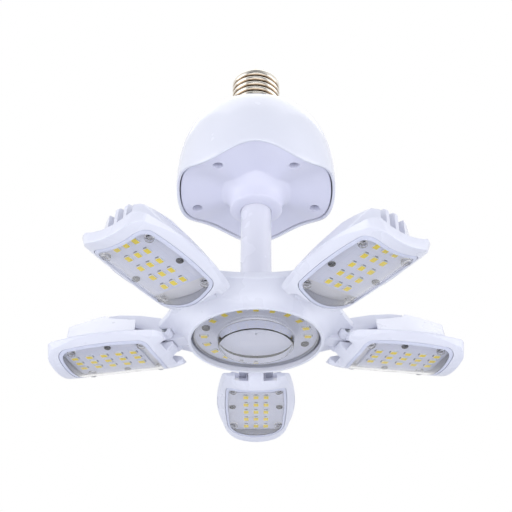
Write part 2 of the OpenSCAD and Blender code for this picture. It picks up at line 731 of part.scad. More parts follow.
module tray() {
    ear_c = ear_hw - corner_r;
    corner_l = tip_l - tip_corner_r;
    side = concat(
        [[notch_l, notch_hw], [ear_l, notch_hw]],
        arc([ear_l + corner_r, ear_c], corner_r, 180, 90, corner_steps),
        [[ear_l + corner_r, panel_hw + cut], [corner_l, panel_hw + cut]],
        arc([corner_l, half_width(corner_l) - tip_corner_r], tip_corner_r, 90, 0, corner_steps)
    );
    difference() {
        intersection() {
            between_sides(-face_drop, tray_h, tan(side_deg));
            face_round(0);
            translate([0, 0, -face_drop - cut]) linear_extrude(height = face_drop + tray_h + 2 * cut)
                polygon(concat(side, mirrored(side)));
            across([[0, -face_drop - cut], [ear_l, tray_h - ear_slope], [ear_l + 1, tray_h - ear_slope * 0.6],
                [ear_l + 4, tray_h], [tip_l + cut, tray_h], [tip_l + cut, -face_drop - cut]], 4 * panel_hw);
        }
        across([[ear_l - cut, -face_drop - cut], [notch_l, -face_drop], [notch_wall_l, notch_wall_h],
            [notch_top_l, tray_h], [notch_top_l, tray_h + cut], [ear_l - cut, tray_h + cut]], 2 * notch_hw);
    }
}

// Heat sink block between slanting sides, with a curved rise, a step and the fins
module block() {
    round_end = 1.5;
    rise = [for (k = [0:side_steps])
        let (u = k / side_steps)
        [block_root_l + (step_l - block_root_l) * u, block_root_h + (step_h - block_root_h) * u * u]];
    outer = concat(
        [[fin_tip_l, tray_h], [block_root_l, tray_h]],
        rise,
        [[ridge_l - 1, ridge_h - 0.2], [ridge_l, ridge_h]],
        arc([fin_tip_l - round_end, fin_tip_h - round_end], round_end, 80, 0, corner_steps)
    );
    half_top = fin_pitch * 1.5 - fin_w / 2;
    plan = [[block_root_l - cut, 2 * panel_hw], [fin_tip_l - cheek_back, panel_hw], [fin_tip_l, half_top],
        [fin_tip_l, -half_top], [fin_tip_l - cheek_back, -panel_hw], [block_root_l - cut, -2 * panel_hw]];
    difference() {
        intersection() {
            between_sides(tray_h, arm_h + cut, tan(flank_deg));
            across(outer, 4 * panel_hw);
            translate([0, 0, tray_h]) linear_extrude(height = arm_h) polygon(plan);
        }
        translate([ridge_l, -half_top, tray_h + slot_floor]) cube([tip_l, 2 * half_top, arm_h]);
    }
    for (m = [-1, 1]) translate([0, m * fin_pitch / 2, mid_fin_rise])
        across(concat(
            [[fin_tip_l, tray_h - mid_fin_rise], [ridge_l - cut, tray_h - mid_fin_rise], [ridge_l - cut, ridge_h], [ridge_l, ridge_h]],
            arc([fin_tip_l - round_end, fin_tip_h - round_end], round_end, 80, 0, corner_steps)
        ), fin_w);
}

// Arm from the block to the hinge
module arm() {
    across([[arm_root_l, tray_h], [arm_root_l, arm_root_h], [(arm_root_l + arm_top_l) / 2, (arm_root_h + arm_h) / 2 + 0.6],
        [arm_top_l, arm_h], [ridge_l, ridge_h + mid_fin_rise], [ridge_l, tray_h]], 2 * arm_hw);
}

// Hinge knuckles on both sides of the tongue
module knuckles() {
    knuckle_foot = block_root_l + cut - pivot_l;
    for (m = [-1, 1]) translate([pivot_l, m * (knuckle_out - knuckle_w / 2), pivot_up]) {
        rotate([90, 0, 0]) cylinder(h = knuckle_w, r = knuckle_r, center = true);
        across([[0, -knuckle_r], [notch_top_l + cut - pivot_l, tray_h - cut - pivot_up], [knuckle_foot, tray_h - cut - pivot_up],
            [knuckle_foot, knuckle_r], [0, knuckle_r]], knuckle_w);
    }
}

module lens_prism(inset, h0, h1) {
    side = lens_side(inset);
    intersection() {
        translate([0, 0, h0]) linear_extrude(height = h1 - h0) polygon(concat(side, mirrored(side)));
        translate([lens_root_l + lens_bow_r, 0, h0]) cylinder(h = h1 - h0, r = lens_bow_r - inset, $fn = round_fn);
    }
}

module at_pegs() {
    for (l = [lens_root_l + peg_in, lens_tip_l - peg_in], m = [-1, 1]) translate([l, m * peg_s, 0]) children();
}

module at_board_screws() {
    for (m = [-1, 1]) translate([panel_screw_l, m * panel_screw_s, 0]) children();
}

module panel_casting(i) {
    color("#EEEFF8") on_panel(i) difference() {
        union() {
            tray();
            block();
            arm();
            knuckles();
        }
        lens_prism(-lens_gap, -face_drop - cut, ceiling_h);
        at_pegs() cylinder(h = ceiling_h + peg_depth, r = peg_r + pin_clear);
        at_board_screws() cylinder(h = ceiling_h + screw_depth, r = screw_r);
        translate([pivot_l, 0, pivot_up]) rotate([90, 0, 0])
            cylinder(h = 2 * knuckle_out + 2 * cut, r = pin_r + pin_clear, center = true);
    }
}

module panel_board(i) {
    color("#D3D5E6") on_panel(i) difference() {
        intersection() {
            lens_prism(board_inset, chip_t, ceiling_h);
            translate([board_root_l, -panel_hw, 0]) cube([tip_l, 2 * panel_hw, ceiling_h + cut]);
        }
        at_pegs() cylinder(h = ceiling_h + cut, r = peg_r + hole_clear);
        at_board_screws() cylinder(h = ceiling_h + cut, r = screw_r + pin_clear);
    }
}

module panel_chips(i) {
    color("#E6D21E") on_panel(i)
        for (row = [0:chip_rows - 1], col = [0:chip_cols - 1])
            translate([chips_l + (row - (chip_rows - 1) / 2) * chip_pitch_l - chip_w / 2,
                (col - (chip_cols - 1) / 2) * chip_pitch_s - chip_len / 2, 0])
                cube([chip_w, chip_len, chip_t]);
}

module panel_lens(i) {
    color([0.86, 0.88, 0.96, 0.5]) on_panel(i) {
        difference() {
            intersection() {
                lens_prism(0, -face_drop - cut, ceiling_h);
                face_round(0);
            }
            intersection() {
                lens_prism(lens_t, -face_drop - cut, ceiling_h + cut);
                face_round(lens_t);
            }
            lens_prism(lens_t, chip_t - seat_gap, ceiling_h + cut);
            at_board_screws() translate([0, 0, chip_t - panel_head_h - head_gap])
                cylinder(h = panel_head_h + head_gap, r = panel_head_r + head_gap);
        }
        intersection() {
            at_pegs() translate([0, 0, -face_drop]) cylinder(h = face_drop + ceiling_h + peg_depth, r = peg_r);
            face_round(0);
        }
    }
}

module panel_board_screws(i) {
    color("#4A4C56") on_panel(i) at_board_screws() translate([0, 0, chip_t]) {
        translate([0, 0, -panel_head_h]) cylinder(h = panel_head_h, r = panel_head_r);
        cylinder(h = board_t + screw_depth, r = screw_r);
    }
}

module hinge_pin(i) {
    color("#B9BBC0") on_panel(i) translate([pivot_l, 0, pivot_up]) rotate([90, 0, 0])
        cylinder(h = 2 * knuckle_out, r = pin_r, center = true);
}

screw_shell();
base_insulator();
centre_contact();
driver_housing();
housing_cover();
cover_screws();
driver_board();
driver_board_screws();
driver_transformer();
driver_capacitors();
supply_leads();
stem_tube();
stem_nut();
hub();
hub_board();
hub_chips();
hub_lens();
hub_board_screws();
panel_casting(0);  // panel_1_casting
panel_board(0);  // panel_1_board
panel_chips(0);  // panel_1_chips
panel_lens(0);  // panel_1_lens
panel_board_screws(0);  // panel_1_board_screws
hinge_pin(0);  // hinge_pin_1
panel_casting(1);  // panel_2_casting
panel_board(1);  // panel_2_board
panel_chips(1);  // panel_2_chips
panel_lens(1);  // panel_2_lens
panel_board_screws(1);  // panel_2_board_screws
hinge_pin(1);  // hinge_pin_2
panel_casting(2);  // panel_3_casting
panel_board(2);  // panel_3_board
panel_chips(2);  // panel_3_chips
panel_lens(2);  // panel_3_lens
panel_board_screws(2);  // panel_3_board_screws
hinge_pin(2);  // hinge_pin_3
panel_casting(3);  // panel_4_casting
panel_board(3);  // panel_4_board
panel_chips(3);  // panel_4_chips
panel_lens(3);  // panel_4_lens
panel_board_screws(3);  // panel_4_board_screws
hinge_pin(3);  // hinge_pin_4
panel_casting(4);  // panel_5_casting
panel_board(4);  // panel_5_board
panel_chips(4);  // panel_5_chips
panel_lens(4);  // panel_5_lens
panel_board_screws(4);  // panel_5_board_screws
hinge_pin(4);  // hinge_pin_5
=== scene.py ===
import bpy
import numpy as np
from math import radians
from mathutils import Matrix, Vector


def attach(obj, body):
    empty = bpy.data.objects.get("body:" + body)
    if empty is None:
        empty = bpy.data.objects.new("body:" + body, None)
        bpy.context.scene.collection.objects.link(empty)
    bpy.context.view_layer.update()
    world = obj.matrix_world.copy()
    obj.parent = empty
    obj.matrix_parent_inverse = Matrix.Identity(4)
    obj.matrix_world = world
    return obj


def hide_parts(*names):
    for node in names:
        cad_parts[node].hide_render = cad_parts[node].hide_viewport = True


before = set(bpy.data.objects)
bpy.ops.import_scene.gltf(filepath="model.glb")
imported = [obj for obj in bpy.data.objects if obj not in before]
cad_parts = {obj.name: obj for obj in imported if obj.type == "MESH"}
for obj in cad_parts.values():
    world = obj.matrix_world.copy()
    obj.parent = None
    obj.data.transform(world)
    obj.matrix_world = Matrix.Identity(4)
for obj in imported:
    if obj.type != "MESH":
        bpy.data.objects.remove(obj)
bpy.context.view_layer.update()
print("frame loaded,", len(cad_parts), "nodes")

# Everything below is worked out in millimetres and turned to metres when a mesh is made.
# The origin is the bottom edge of the screw shell, on the lamp axis.
panelCount = 5
panelStep = 360 / panelCount
panelTilts = [-4.0, 4.0, 2.0, 5.0, 2.5]  # degrees, tip up, clockwise from the far side
chipsZ = -138.5  # the face of the centre chips
pivotHeight = -132.2
pivotReach = 44.0
pivotRise = 8.35  # the hinge pin above the chips of its panel
ceiling = 1.9  # the back of the boards above their chips
hullColumns = 240  # points round the housing and its cover


# --- mesh helpers

def gridFaces(rows, columns, closedRows=False, closedColumns=True):
    # quads between neighbouring points of a rows x columns grid, wrapped round where it is closed
    i = np.arange(rows if closedRows else rows - 1)[:, None]
    j = np.arange(columns if closedColumns else columns - 1)[None, :]
    iNext, jNext = (i + 1) % rows, (j + 1) % columns
    quads = np.stack([i * columns + j, i * columns + jNext, iNext * columns + jNext, iNext * columns + j], -1)
    return [tuple(q) for q in quads.reshape(-1, 4).tolist()]


def ringSolid(rings, closedRows=False):
    # rings: rows x columns x 3, closed round each ring, and either from last ring to first or by a flat cap at each end
    rows, columns = rings.shape[:2]
    faces = gridFaces(rows, columns, closedRows)
    if not closedRows:
        faces.append(tuple(range(columns))[::-1])
        faces.append(tuple((rows - 1) * columns + k for k in range(columns)))
    return facedOut(rings.reshape(-1, 3), faces)


def facedOut(points, faces):
    # signed volume by fans from each face's first corner; a negative one means that the faces look inwards
    volume = 0.0
    for size in {len(f) for f in faces}:
        same = np.array([f for f in faces if len(f) == size])
        for k in range(1, size - 1):
            a, b, c = points[same[:, 0]], points[same[:, k]], points[same[:, k + 1]]
            volume += np.einsum("ij,ij->i", a, np.cross(b, c)).sum()
    return points, faces if volume > 0 else [f[::-1] for f in faces]


def joined(parts):
    # several closed solids as one list of points and faces
    start, points, faces = 0, [], []
    for p, f in parts:
        points.append(p)
        faces += [tuple(k + start for k in face) for face in f]
        start += len(p)
    return np.concatenate(points), faces


def around(a, r, z):
    # points at radius r and height z for the angles a of a row, with as many rows as r or z have
    return np.stack(np.broadcast_arrays(r * np.sin(a), r * np.cos(a), z + 0 * a), -1)


def fullTurn(columns):
    return np.linspace(0, 2 * np.pi, columns, endpoint=False)[None, :]


def wallRound(a, rows):
    # a wall that comes back to where it starts; a row's radius and height are one for all angles or one for each, and
    # a column of them makes several rows
    return ringSolid(np.concatenate([around(a, r, z) for r, z in rows]), closedRows=True)


def lathe(profile, columns=96, closedRows=True):
    # each (radius, height) of the profile carried round the axis
    profile = np.asarray(profile, float)
    return ringSolid(around(fullTurn(columns), profile[:, :1], profile[:, 1:]), closedRows)


def prism(outline, low, high, edge=0.0):
    # a flat outline carried from low to high, its rims drawn in by edge along the way to the outline's middle
    outline = np.asarray(outline, float)
    middle = outline.mean(0)
    reach = np.linalg.norm(outline - middle, axis=1, keepdims=True)
    levels = [(low, edge), (low + edge, 0), (high - edge, 0), (high, edge)] if edge else [(low, 0), (high, 0)]
    rings = [np.c_[outline - (outline - middle) / reach * inset, np.full(len(outline), h)] for h, inset in levels]
    return ringSolid(np.array(rings))


def box(low, high):
    (x0, y0, z0), (x1, y1, z1) = low, high
    return prism([(x0, y0), (x1, y0), (x1, y1), (x0, y1)], z0, z1)


def arcPoints(centre, radius, start, end, count):
    a = np.radians(np.linspace(start, end, count))
    return np.c_[centre[0] + radius * np.cos(a), centre[1] + radius * np.sin(a)]


def sideways(part):
    # turns a prism drawn in (l, h) with its length along z so that the length runs across the panel
    points, faces = part
    return facedOut(points[:, [0, 2, 1]], faces)


def moved(part, x=0.0, y=0.0, z=0.0):
    return part[0] + np.array([x, y, z]), part[1]


def spun(part, degrees):
    # turned about the z axis, anticlockwise seen from above
    a, p = radians(degrees), part[0]
    x, y = p[:, 0], p[:, 1]
    return np.c_[x * np.cos(a) - y * np.sin(a), x * np.sin(a) + y * np.cos(a), p[:, 2]], part[1]


def outwards(part, degrees):
    # a part drawn with x away from the axis and y across, put at a compass angle, clockwise from the far side
    p = part[0]
    return spun((np.c_[-p[:, 1], p[:, 0], p[:, 2]], part[1]), -degrees)


def onPanel(part, i):
    # x along the panel from the lamp axis, y across, z over the chips: tilted round the hinge pin, then put in place
    p = part[0] - np.array([pivotReach, 0, pivotRise])
    t = radians(panelTilts[i])
    p = np.c_[p[:, 0] * np.cos(t) - p[:, 2] * np.sin(t), p[:, 1], p[:, 0] * np.sin(t) + p[:, 2] * np.cos(t)]
    return outwards((p + np.array([pivotReach, 0, pivotHeight]), part[1]), panelStep * i)


def bareObject(name, part):
    mesh = bpy.data.meshes.new(name)
    mesh.from_pydata((part[0] * 0.001).tolist(), [], part[1])
    made = bpy.data.objects.new(name, mesh)
    bpy.context.scene.collection.objects.link(made)
    return made


def carved(part, cutter, operation="DIFFERENCE"):
    # one solid cut by or joined to another, by the exact boolean
    base, tool = bareObject("carveBase", part), bareObject("carveTool", cutter)
    change = base.modifiers.new("carve", "BOOLEAN")
    change.operation, change.object, change.solver = operation, tool, "EXACT"
    bpy.context.view_layer.update()
    result = base.evaluated_get(bpy.context.evaluated_depsgraph_get()).to_mesh()
    points = np.zeros(len(result.vertices) * 3, np.float32)
    result.vertices.foreach_get("co", points)
    faces = [tuple(p.vertices) for p in result.polygons]
    for o in (base, tool):
        mesh = o.data
        bpy.data.objects.remove(o)
        bpy.data.meshes.remove(mesh)
    return points.reshape(-1, 3).astype(float) * 1000, faces


def makePiece(name, part, body, material, nodes, slot, local=None, sharp=35, materialOf=None):
    # a finished piece: mesh, finish, the CAD nodes it stands for and the body it rides on
    made = bareObject(name, part)
    mesh = made.data
    for m in material if isinstance(material, (list, tuple)) else [material]:
        mesh.materials.append(m)
    if materialOf is not None:
        mesh.polygons.foreach_set("material_index", np.asarray(materialOf, np.int32))
    if local is not None:  # where each point lies on its own panel, for patterns that follow the panel
        attribute = mesh.attributes.new("localPlace", "FLOAT_VECTOR", "POINT")
        attribute.data.foreach_set("vector", np.asarray(local, np.float32).ravel())
    mesh.shade_smooth()
    mesh.set_sharp_from_angle(angle=radians(sharp))
    mesh.update()
    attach(made, body)
    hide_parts(*nodes)


# --- material helpers

def linear(hexColour):
    # sRGB hex to the linear values that the shader takes
    c = np.array([int(hexColour[k:k + 2], 16) for k in (1, 3, 5)]) / 255
    c = np.where(c <= 0.04045, c / 12.92, ((c + 0.055) / 1.055) ** 2.4)
    return (*c.tolist(), 1.0)


def addNode(material, kind, settings=None, **links):
    # adds one shader node; settings go to its sockets or properties, links name (node, output) for its inputs,
    # which are called by name or by an underscore and their number
    tree = material.node_tree
    made = tree.nodes.new("ShaderNode" + kind)
    for key, value in (settings or {}).items():
        if isinstance(key, str) and hasattr(made, key):
            setattr(made, key, value)
        else:
            made.inputs[key].default_value = value
    for key, (source, output) in links.items():
        tree.links.new(source.outputs[output], made.inputs[int(key[1:]) if key[0] == "_" else key])
    return made


def newMaterial(name, colour, **settings):
    # a Principled surface with its constants set on its own sockets
    material = bpy.data.materials.new(name)
    material.use_nodes = True
    shader = material.node_tree.nodes["Principled BSDF"]
    shader.inputs["Base Color"].default_value = linear(colour)
    for key, value in settings.items():
        shader.inputs[key.replace("_", " ")].default_value = value
    return material, shader


def link(material, source, output, target, socket):
    material.node_tree.links.new(source.outputs[output], target.inputs[socket])


# --- materials, each named for the real stuff and how its surface was made

def paintedWhite(name, colour, roughness, peel, bumpStrength):
    # gloss coat over metal or moulded plastic: even white with a faint orange peel, whose bumps are peel millimetres
    # wide, and soft patches where handling has dulled the gloss
    material, shader = newMaterial(name, colour, Roughness=roughness, IOR=1.5, Coat_Weight=0.15, Coat_Roughness=0.08)
    place = addNode(material, "TexCoord")
    peelNoise = addNode(material, "TexNoise", {"Scale": 1000 / peel, "Detail": 2.0, "Roughness": 0.4},
                        Vector=(place, "Object"))
    patches = addNode(material, "TexNoise", {"Scale": 45.0, "Detail": 3.0}, Vector=(place, "Object"))
    dulled = addNode(material, "MapRange", {1: 0.35, 2: 0.7, 3: roughness * 0.85, 4: roughness * 1.2},
                     Value=(patches, "Fac"))
    link(material, dulled, "Result", shader, "Roughness")
    darker = tuple(v * 0.965 for v in linear(colour)[:3]) + (1.0,)
    tone = addNode(material, "Mix", {"data_type": "RGBA", 6: linear(colour), 7: darker}, _0=(patches, "Fac"))
    link(material, tone, 2, shader, "Base Color")
    bump = addNode(material, "Bump", {"Strength": bumpStrength, "Distance": 0.00006}, Height=(peelNoise, "Fac"))
    link(material, bump, "Normal", shader, "Normal")
    return material


# die-cast aluminium under white polyester powder coat: gloss white with a faint orange peel
castingWhite = paintedWhite("powderCoatedAluminium", "#ECEDF6", 0.3, 1.6, 0.5)
# injection moulded polycarbonate, gloss tool finish: smoother than paint, slightly warm in the lit parts
housingWhite = paintedWhite("mouldedWhitePolycarbonate", "#EFF0F8", 0.24, 2.4, 0.25)
# the same plastic in the cover, with a finer, duller tool finish, tinted cooler as painted shade of the recessed cover
coverWhite = paintedWhite("satinMouldedPolycarbonate", "#EEEEFC", 0.38, 0.9, 0.5)
# drawn steel tube under baked enamel: glossy, with a little orange peel
stemWhite = paintedWhite("enamelledSteelTube", "#ECECF5", 0.26, 1.8, 0.3)


def makeNickel():
    # nickel-plated brass, rolled thread: bright crests, grooves darkened by painted shade mixed with tarnish, fine
    # scratches round the shell
    material, shader = newMaterial("nickelPlatedBrass", "#D6D0C6", Metallic=1.0, Roughness=0.2)
    place = addNode(material, "TexCoord")
    parts = addNode(material, "SeparateXYZ", Vector=(place, "Object"))
    squares = [addNode(material, "Math", {"operation": "POWER", 1: 2.0}, _0=(parts, axis)) for axis in "XY"]
    total = addNode(material, "Math", {"operation": "ADD"}, _0=(squares[0], 0), _1=(squares[1], 0))
    radius = addNode(material, "Math", {"operation": "SQRT"}, _0=(total, 0))
    # painted shade: the colour falls from the crests to a near-black brown at the groove roots, with tarnish and random
    # stains in it
    depth = addNode(material, "MapRange", {1: 0.01225, 2: 0.01300, 3: 0.0, 4: 1.0}, Value=(radius, 0))
    stains = addNode(material, "TexNoise", {"Scale": 320.0, "Detail": 4.0}, Vector=(place, "Object"))
    stained = addNode(material, "Math", {"operation": "MULTIPLY_ADD", 1: 0.35, 2: -0.17}, _0=(stains, "Fac"))
    grooveShadeAndTarnish = addNode(material, "Math", {"operation": "ADD", "use_clamp": True}, _0=(depth, 0), _1=(stained, 0))
    colour = addNode(material, "ValToRGB", Fac=(grooveShadeAndTarnish, 0))
    stops = colour.color_ramp.elements
    stops[0].position, stops[0].color = 0.0, linear("#4A3A2C")
    stops[1].position, stops[1].color = 1.0, linear("#E6E2DA")
    middle = stops.new(0.45)
    middle.color = linear("#A8947C")
    link(material, colour, "Color", shader, "Base Color")
    stretched = addNode(material, "Mapping", {"Scale": (60.0, 60.0, 9000.0)}, Vector=(place, "Object"))
    scratches = addNode(material, "TexNoise", {"Scale": 1.0, "Detail": 3.0}, Vector=(stretched, 0))
    rough = addNode(material, "MapRange", {3: 0.14, 4: 0.32}, Value=(scratches, "Fac"))
    link(material, rough, "Result", shader, "Roughness")
    return material


nickel = makeNickel()


def plainWithGrain(name, colour, second, grain, **settings):
    # two close tones mixed by a noise whose patches are grain millimetres wide, which also lifts the surface a little
    bumpHeight = settings.pop("bumpHeight", 0.00003)
    material, shader = newMaterial(name, colour, **settings)
    place = addNode(material, "TexCoord")
    noise = addNode(material, "TexNoise", {"Scale": 1000 / grain, "Detail": 3.0}, Vector=(place, "Object"))
    tone = addNode(material, "Mix", {"data_type": "RGBA", 6: linear(colour), 7: linear(second)}, _0=(noise, "Fac"))
    link(material, tone, 2, shader, "Base Color")
    bump = addNode(material, "Bump", {"Strength": 0.4, "Distance": bumpHeight}, Height=(noise, "Fac"))
    link(material, bump, "Normal", shader, "Normal")
    return material


# phenolic ring, pressed: near black with a fine dull grain
phenolic = plainWithGrain("pressedPhenolic", "#191A1C", "#26262A", 0.8, Roughness=0.35)
# tinned contact, stamped: pale grey metal worn in patches
tinnedContact = plainWithGrain("stampedTinnedBrass", "#D4D2CC", "#A9A294", 1.2, Metallic=1.0, Roughness=0.28)
# zinc-plated steel screws and rivets: bluish grey, slightly mottled
zincSteel = plainWithGrain("zincPlatedSteel", "#A4A8B0", "#7C8088", 0.7, Metallic=1.0, Roughness=0.3)
# blackened steel screws that hold the boards
darkSteel = plainWithGrain("blackenedSteel", "#50525C", "#34363E", 0.5, Metallic=1.0, Roughness=0.34)
# glass fibre board with green solder mask, inside the housing
greenBoard = plainWithGrain("glassFibreBoard", "#3B7450", "#2E6344", 2.0, Roughness=0.4)
ferrite = plainWithGrain("sinteredFerrite", "#3A3A3E", "#4A4846", 1.0, Roughness=0.6)
capacitorSleeve = plainWithGrain("shrunkPvcSleeve", "#26324A", "#1E2940", 3.0, Roughness=0.3)
leadCover = plainWithGrain("extrudedPvcInsulation", "#B03A34", "#9C302C", 2.0, Roughness=0.45)
# reflowed tin of the solder pads, gone dull
solder = plainWithGrain("reflowedTinSolder", "#8A8C9C", "#66687A", 0.6, Metallic=0.5, Roughness=0.45)
# moulded white frame of each chip, and the silicone with phosphor in its window
chipFrame = plainWithGrain("mouldedPolyphthalamide", "#EDEEF2", "#E2E3EA", 0.6, Roughness=0.5)
phosphor = plainWithGrain("phosphorSilicone", "#FFEC00", "#FFE000", 0.35, Roughness=0.5, Specular_IOR_Level=0.1,
                          bumpHeight=0.00002)


chipGrid = {"middle": 76.7, "rows": 5, "columns": 3, "along": 7.87, "across": 5.22}  # the chips of a panel


def makeBoardMask():
    # aluminium-core board with printed white solder mask: satin, cool white, with copper tracks raised under the mask
    material, shader = newMaterial("printedWhiteSolderMask", "#E0E6FA", Roughness=0.42)
    place = addNode(material, "Attribute", {"attribute_name": "localPlace"})
    tracks = {"Scale": 1.0, "Mortar Size": 0.05, "Mortar Smooth": 0.3, "Brick Width": chipGrid["along"],
              "Row Height": chipGrid["across"], "Color1": linear("#E3E7FC"), "Color2": linear("#DDE2F9"),
              "Mortar": linear("#CFD5EC")}
    bricks = addNode(material, "TexBrick", tracks, Vector=(place, "Vector"))
    link(material, bricks, "Color", shader, "Base Color")
    noise = addNode(material, "TexNoise", {"Scale": 3.0, "Detail": 2.0}, Vector=(place, "Vector"))
    height = addNode(material, "Math", {"operation": "MULTIPLY_ADD", 1: 0.15}, _0=(noise, "Fac"), _2=(bricks, "Fac"))
    bump = addNode(material, "Bump", {"Strength": 0.5, "Distance": 0.00005}, Height=(height, 0))
    link(material, bump, "Normal", shader, "Normal")
    return material


boardMask = makeBoardMask()


def makeClearPlastic():
    # injection moulded clear polycarbonate: sharp and bright, with faint flow waves a few millimetres wide
    material, shader = newMaterial("mouldedClearPolycarbonate", "#FDFDFF", Roughness=0.02, IOR=1.58,
                                   Transmission_Weight=1.0)
    place = addNode(material, "TexCoord")
    waves = addNode(material, "TexNoise", {"Scale": 180.0, "Detail": 1.0}, Vector=(place, "Object"))
    bump = addNode(material, "Bump", {"Strength": 0.25, "Distance": 0.0001}, Height=(waves, "Fac"))
    link(material, bump, "Normal", shader, "Normal")
    # thin clear plastic casts next to no shadow
    path = addNode(material, "LightPath")
    clear = addNode(material, "BsdfTransparent", {"Color": (0.97, 0.975, 0.985, 1.0)})
    mix = addNode(material, "MixShader", None, _0=(path, "Is Shadow Ray"), _1=(shader, "BSDF"), _2=(clear, "BSDF"))
    link(material, mix, "Shader", material.node_tree.nodes["Material Output"], "Surface")
    return material


clearPlastic = makeClearPlastic()
# the same plastic at the lenses' frosted edges, where it only scatters: pale, satin, cool
frostedEdge = plainWithGrain("frostedClearPolycarbonate", "#E0E2F0", "#D2D6E8", 1.4, Roughness=0.35)
print("materials made")


# --- screw shell: radius = root + (crest - root) * rounded wave of (height / pitch - turn), fading out at both ends

shellSize = {"crest": 13.1, "root": 12.2, "pitch": 3.63, "wall": 0.35, "height": 21.0, "shoulder": 2.5,
             "threadFrom": 2.6, "threadTo": 20.5, "fadeIn": 2.5, "fadeOut": 2.0, "plainTo": 2.7, "columns": 144}


def makeScrewShell(v):
    a = fullTurn(v["columns"])
    heights = np.concatenate([[0.0, 0.15], np.linspace(0.6, v["height"], 118)])[:, None]
    wave = 0.5 + 0.5 * np.cos(2 * np.pi * (heights / v["pitch"] - a / (2 * np.pi)))
    start = np.clip((heights - v["threadFrom"]) / v["fadeIn"], 0, 1)
    fade = start * np.clip((v["threadTo"] - heights) / v["fadeOut"], 0, 1)
    outer = v["crest"] - (v["crest"] - v["root"]) * (1 - wave ** 0.8) * fade
    outer = np.where(heights < 0.1, outer - 0.12, outer)  # the bottom edge is turned in
    rows = [(outer, heights)]
    bend = np.radians(np.linspace(8, 90, 8))
    middle = v["crest"] - v["shoulder"]
    for reach, angles in ((v["shoulder"], bend), (v["shoulder"] - v["wall"], bend[::-1])):
        turn = angles[:, None]
        rows.append((middle + reach * np.cos(turn), v["height"] + reach * np.sin(turn)))
    inner = np.linspace(v["height"], 0, 10)[:, None]
    rows.append((np.where(inner < v["plainTo"], v["crest"], v["root"]) - v["wall"], inner))
    makePiece("threadedShell", wallRound(a, rows), "lamp", nickel, ["screw_shell"], "nickel_shell", sharp=50)


def makeBaseTop(v):
    top = v["height"] + v["shoulder"]
    ring = [(2.9, top + 2.9), (5.6, top + 2.9), *arcPoints((5.7, top + 2.4), 0.5, 80, 40, 4), (9.4, top + 0.75),
            (10.0, top + 0.45), (10.2, top + 0.1), (10.2, top - 1.2), (2.9, top - 1.2)]
    makePiece("insulatorRing", lathe(ring), "lamp", phenolic, ["base_insulator"], "black_insulator")
    low = top + 2.9
    contact = [(0.01, low), (4.5, low), (4.7, low + 0.1), *arcPoints((4.2, low + 1.2), 0.5, 0, 75, 5),
               (3.0, low + 1.72), (1.6, low + 1.5), (0.9, low + 1.75), (0.01, low + 1.8)]  # dimpled round the solder
    makePiece("centreButton", lathe(contact, 64, closedRows=False), "lamp", tinnedContact, ["centre_contact"],
              "contact_metal")


makeScrewShell(shellSize)
makeBaseTop(shellSize)


# --- driver housing: radius = flat + reach * cos(a)^(2/p), height = wide + tall * sin(a)^(2/p), and the rim waved by
# the cosine of five times the turn

housingSize = {"widest": 41.6, "wide": -50.7, "tall": 45.7, "flat": 13.0, "power": 2.4, "rim": -54.7, "wave": 3.0,
               "draft": 0.06, "wall": 1.5, "neck": 14.6, "stub": 11.7, "stubTop": 19.0, "bore": 10.1, "boreFoot": -7.2,
               "straight": 8.0, "edge": 0.5}


def housingRadius(z, inset):
    v = housingSize
    up = np.clip((z - v["wide"]) / (v["tall"] - inset), 0, 1)
    sine = up ** (v["power"] / 2)
    dome = v["flat"] + (v["widest"] - inset - v["flat"]) * np.sqrt(np.clip(1 - sine ** 2, 0, 1)) ** (2 / v["power"])
    return np.where(z < v["wide"], v["widest"] - inset - v["draft"] * (v["wide"] - z), dome)


def rimWave(a, r=housingSize["widest"]):
    v = housingSize
    return -v["wave"] * (r / v["widest"]) * np.cos(panelCount * a)


def domeRings(a, inset):
    # rows from the waved rim up the wall to the flat top
    v = housingSize
    steps = np.linspace(0, 1, 7)[:, None]
    rim = v["rim"] + rimWave(a) + v["edge"]
    z = rim * (1 - steps) + (v["wide"] + v["straight"]) * steps
    rows = [around(a, housingRadius(z, inset), z)]
    start = np.arcsin((v["straight"] / (v["tall"] - inset)) ** (v["power"] / 2))
    bend = np.linspace(start, np.pi / 2, 60)[1:, None]
    r = v["flat"] + (v["widest"] - inset - v["flat"]) * np.cos(bend).clip(0) ** (2 / v["power"])
    rows.append(around(a, r, v["wide"] + (v["tall"] - inset) * np.sin(bend) ** (2 / v["power"])))
    return np.concatenate(rows)


def makeHousing(v):
    a, edge = fullTurn(hullColumns), v["edge"]
    outer, inner = domeRings(a, 0), domeRings(a, v["wall"])[::-1]
    neck, stub, top = v["neck"], v["stub"], v["stubTop"]
    collar = np.array([(neck + 0.9, -5.02), (neck + 0.3, -4.8), (neck + 0.05, -4.3), (neck, -0.5),  # fillet to the dome
                       *arcPoints((neck - 0.4, -0.4), 0.4, 10, 90, 4), (stub + 0.1, 0.0), (stub, 0.2),
                       (stub, top - 0.3), (stub - 0.3, top), (v["bore"], top), (v["bore"], v["boreFoot"])])
    rim = v["rim"] + rimWave(a)
    rimRadius, rimRows = housingRadius(rim, 0), []
    for k in np.radians([205, 235, 270, 305, 335]):  # round the rim from its inner to its outer edge
        r = rimRadius - edge - (v["wall"] - 2 * edge) * (np.cos(k) < 0) + edge * np.cos(k)
        if abs(np.cos(k)) < 1e-6:
            r = rimRadius - v["wall"] / 2
        rimRows.append(around(a, r, rim + edge + edge * np.sin(k)))
    # the last rows of the dome lie under the neck and are left out
    rings = [*rimRows, outer[:-3], around(a, collar[:, :1], collar[:, 1:]), inner]
    part = ringSolid(np.concatenate(rings), closedRows=True)
    makePiece("housingShell", part, "lamp", housingWhite, ["driver_housing"], "white_housing", sharp=40)


makeHousing(housingSize)


# --- cover: a disc that follows the rim's waves, with a boss whose flare is radius = boss + (flare - boss) * u^2

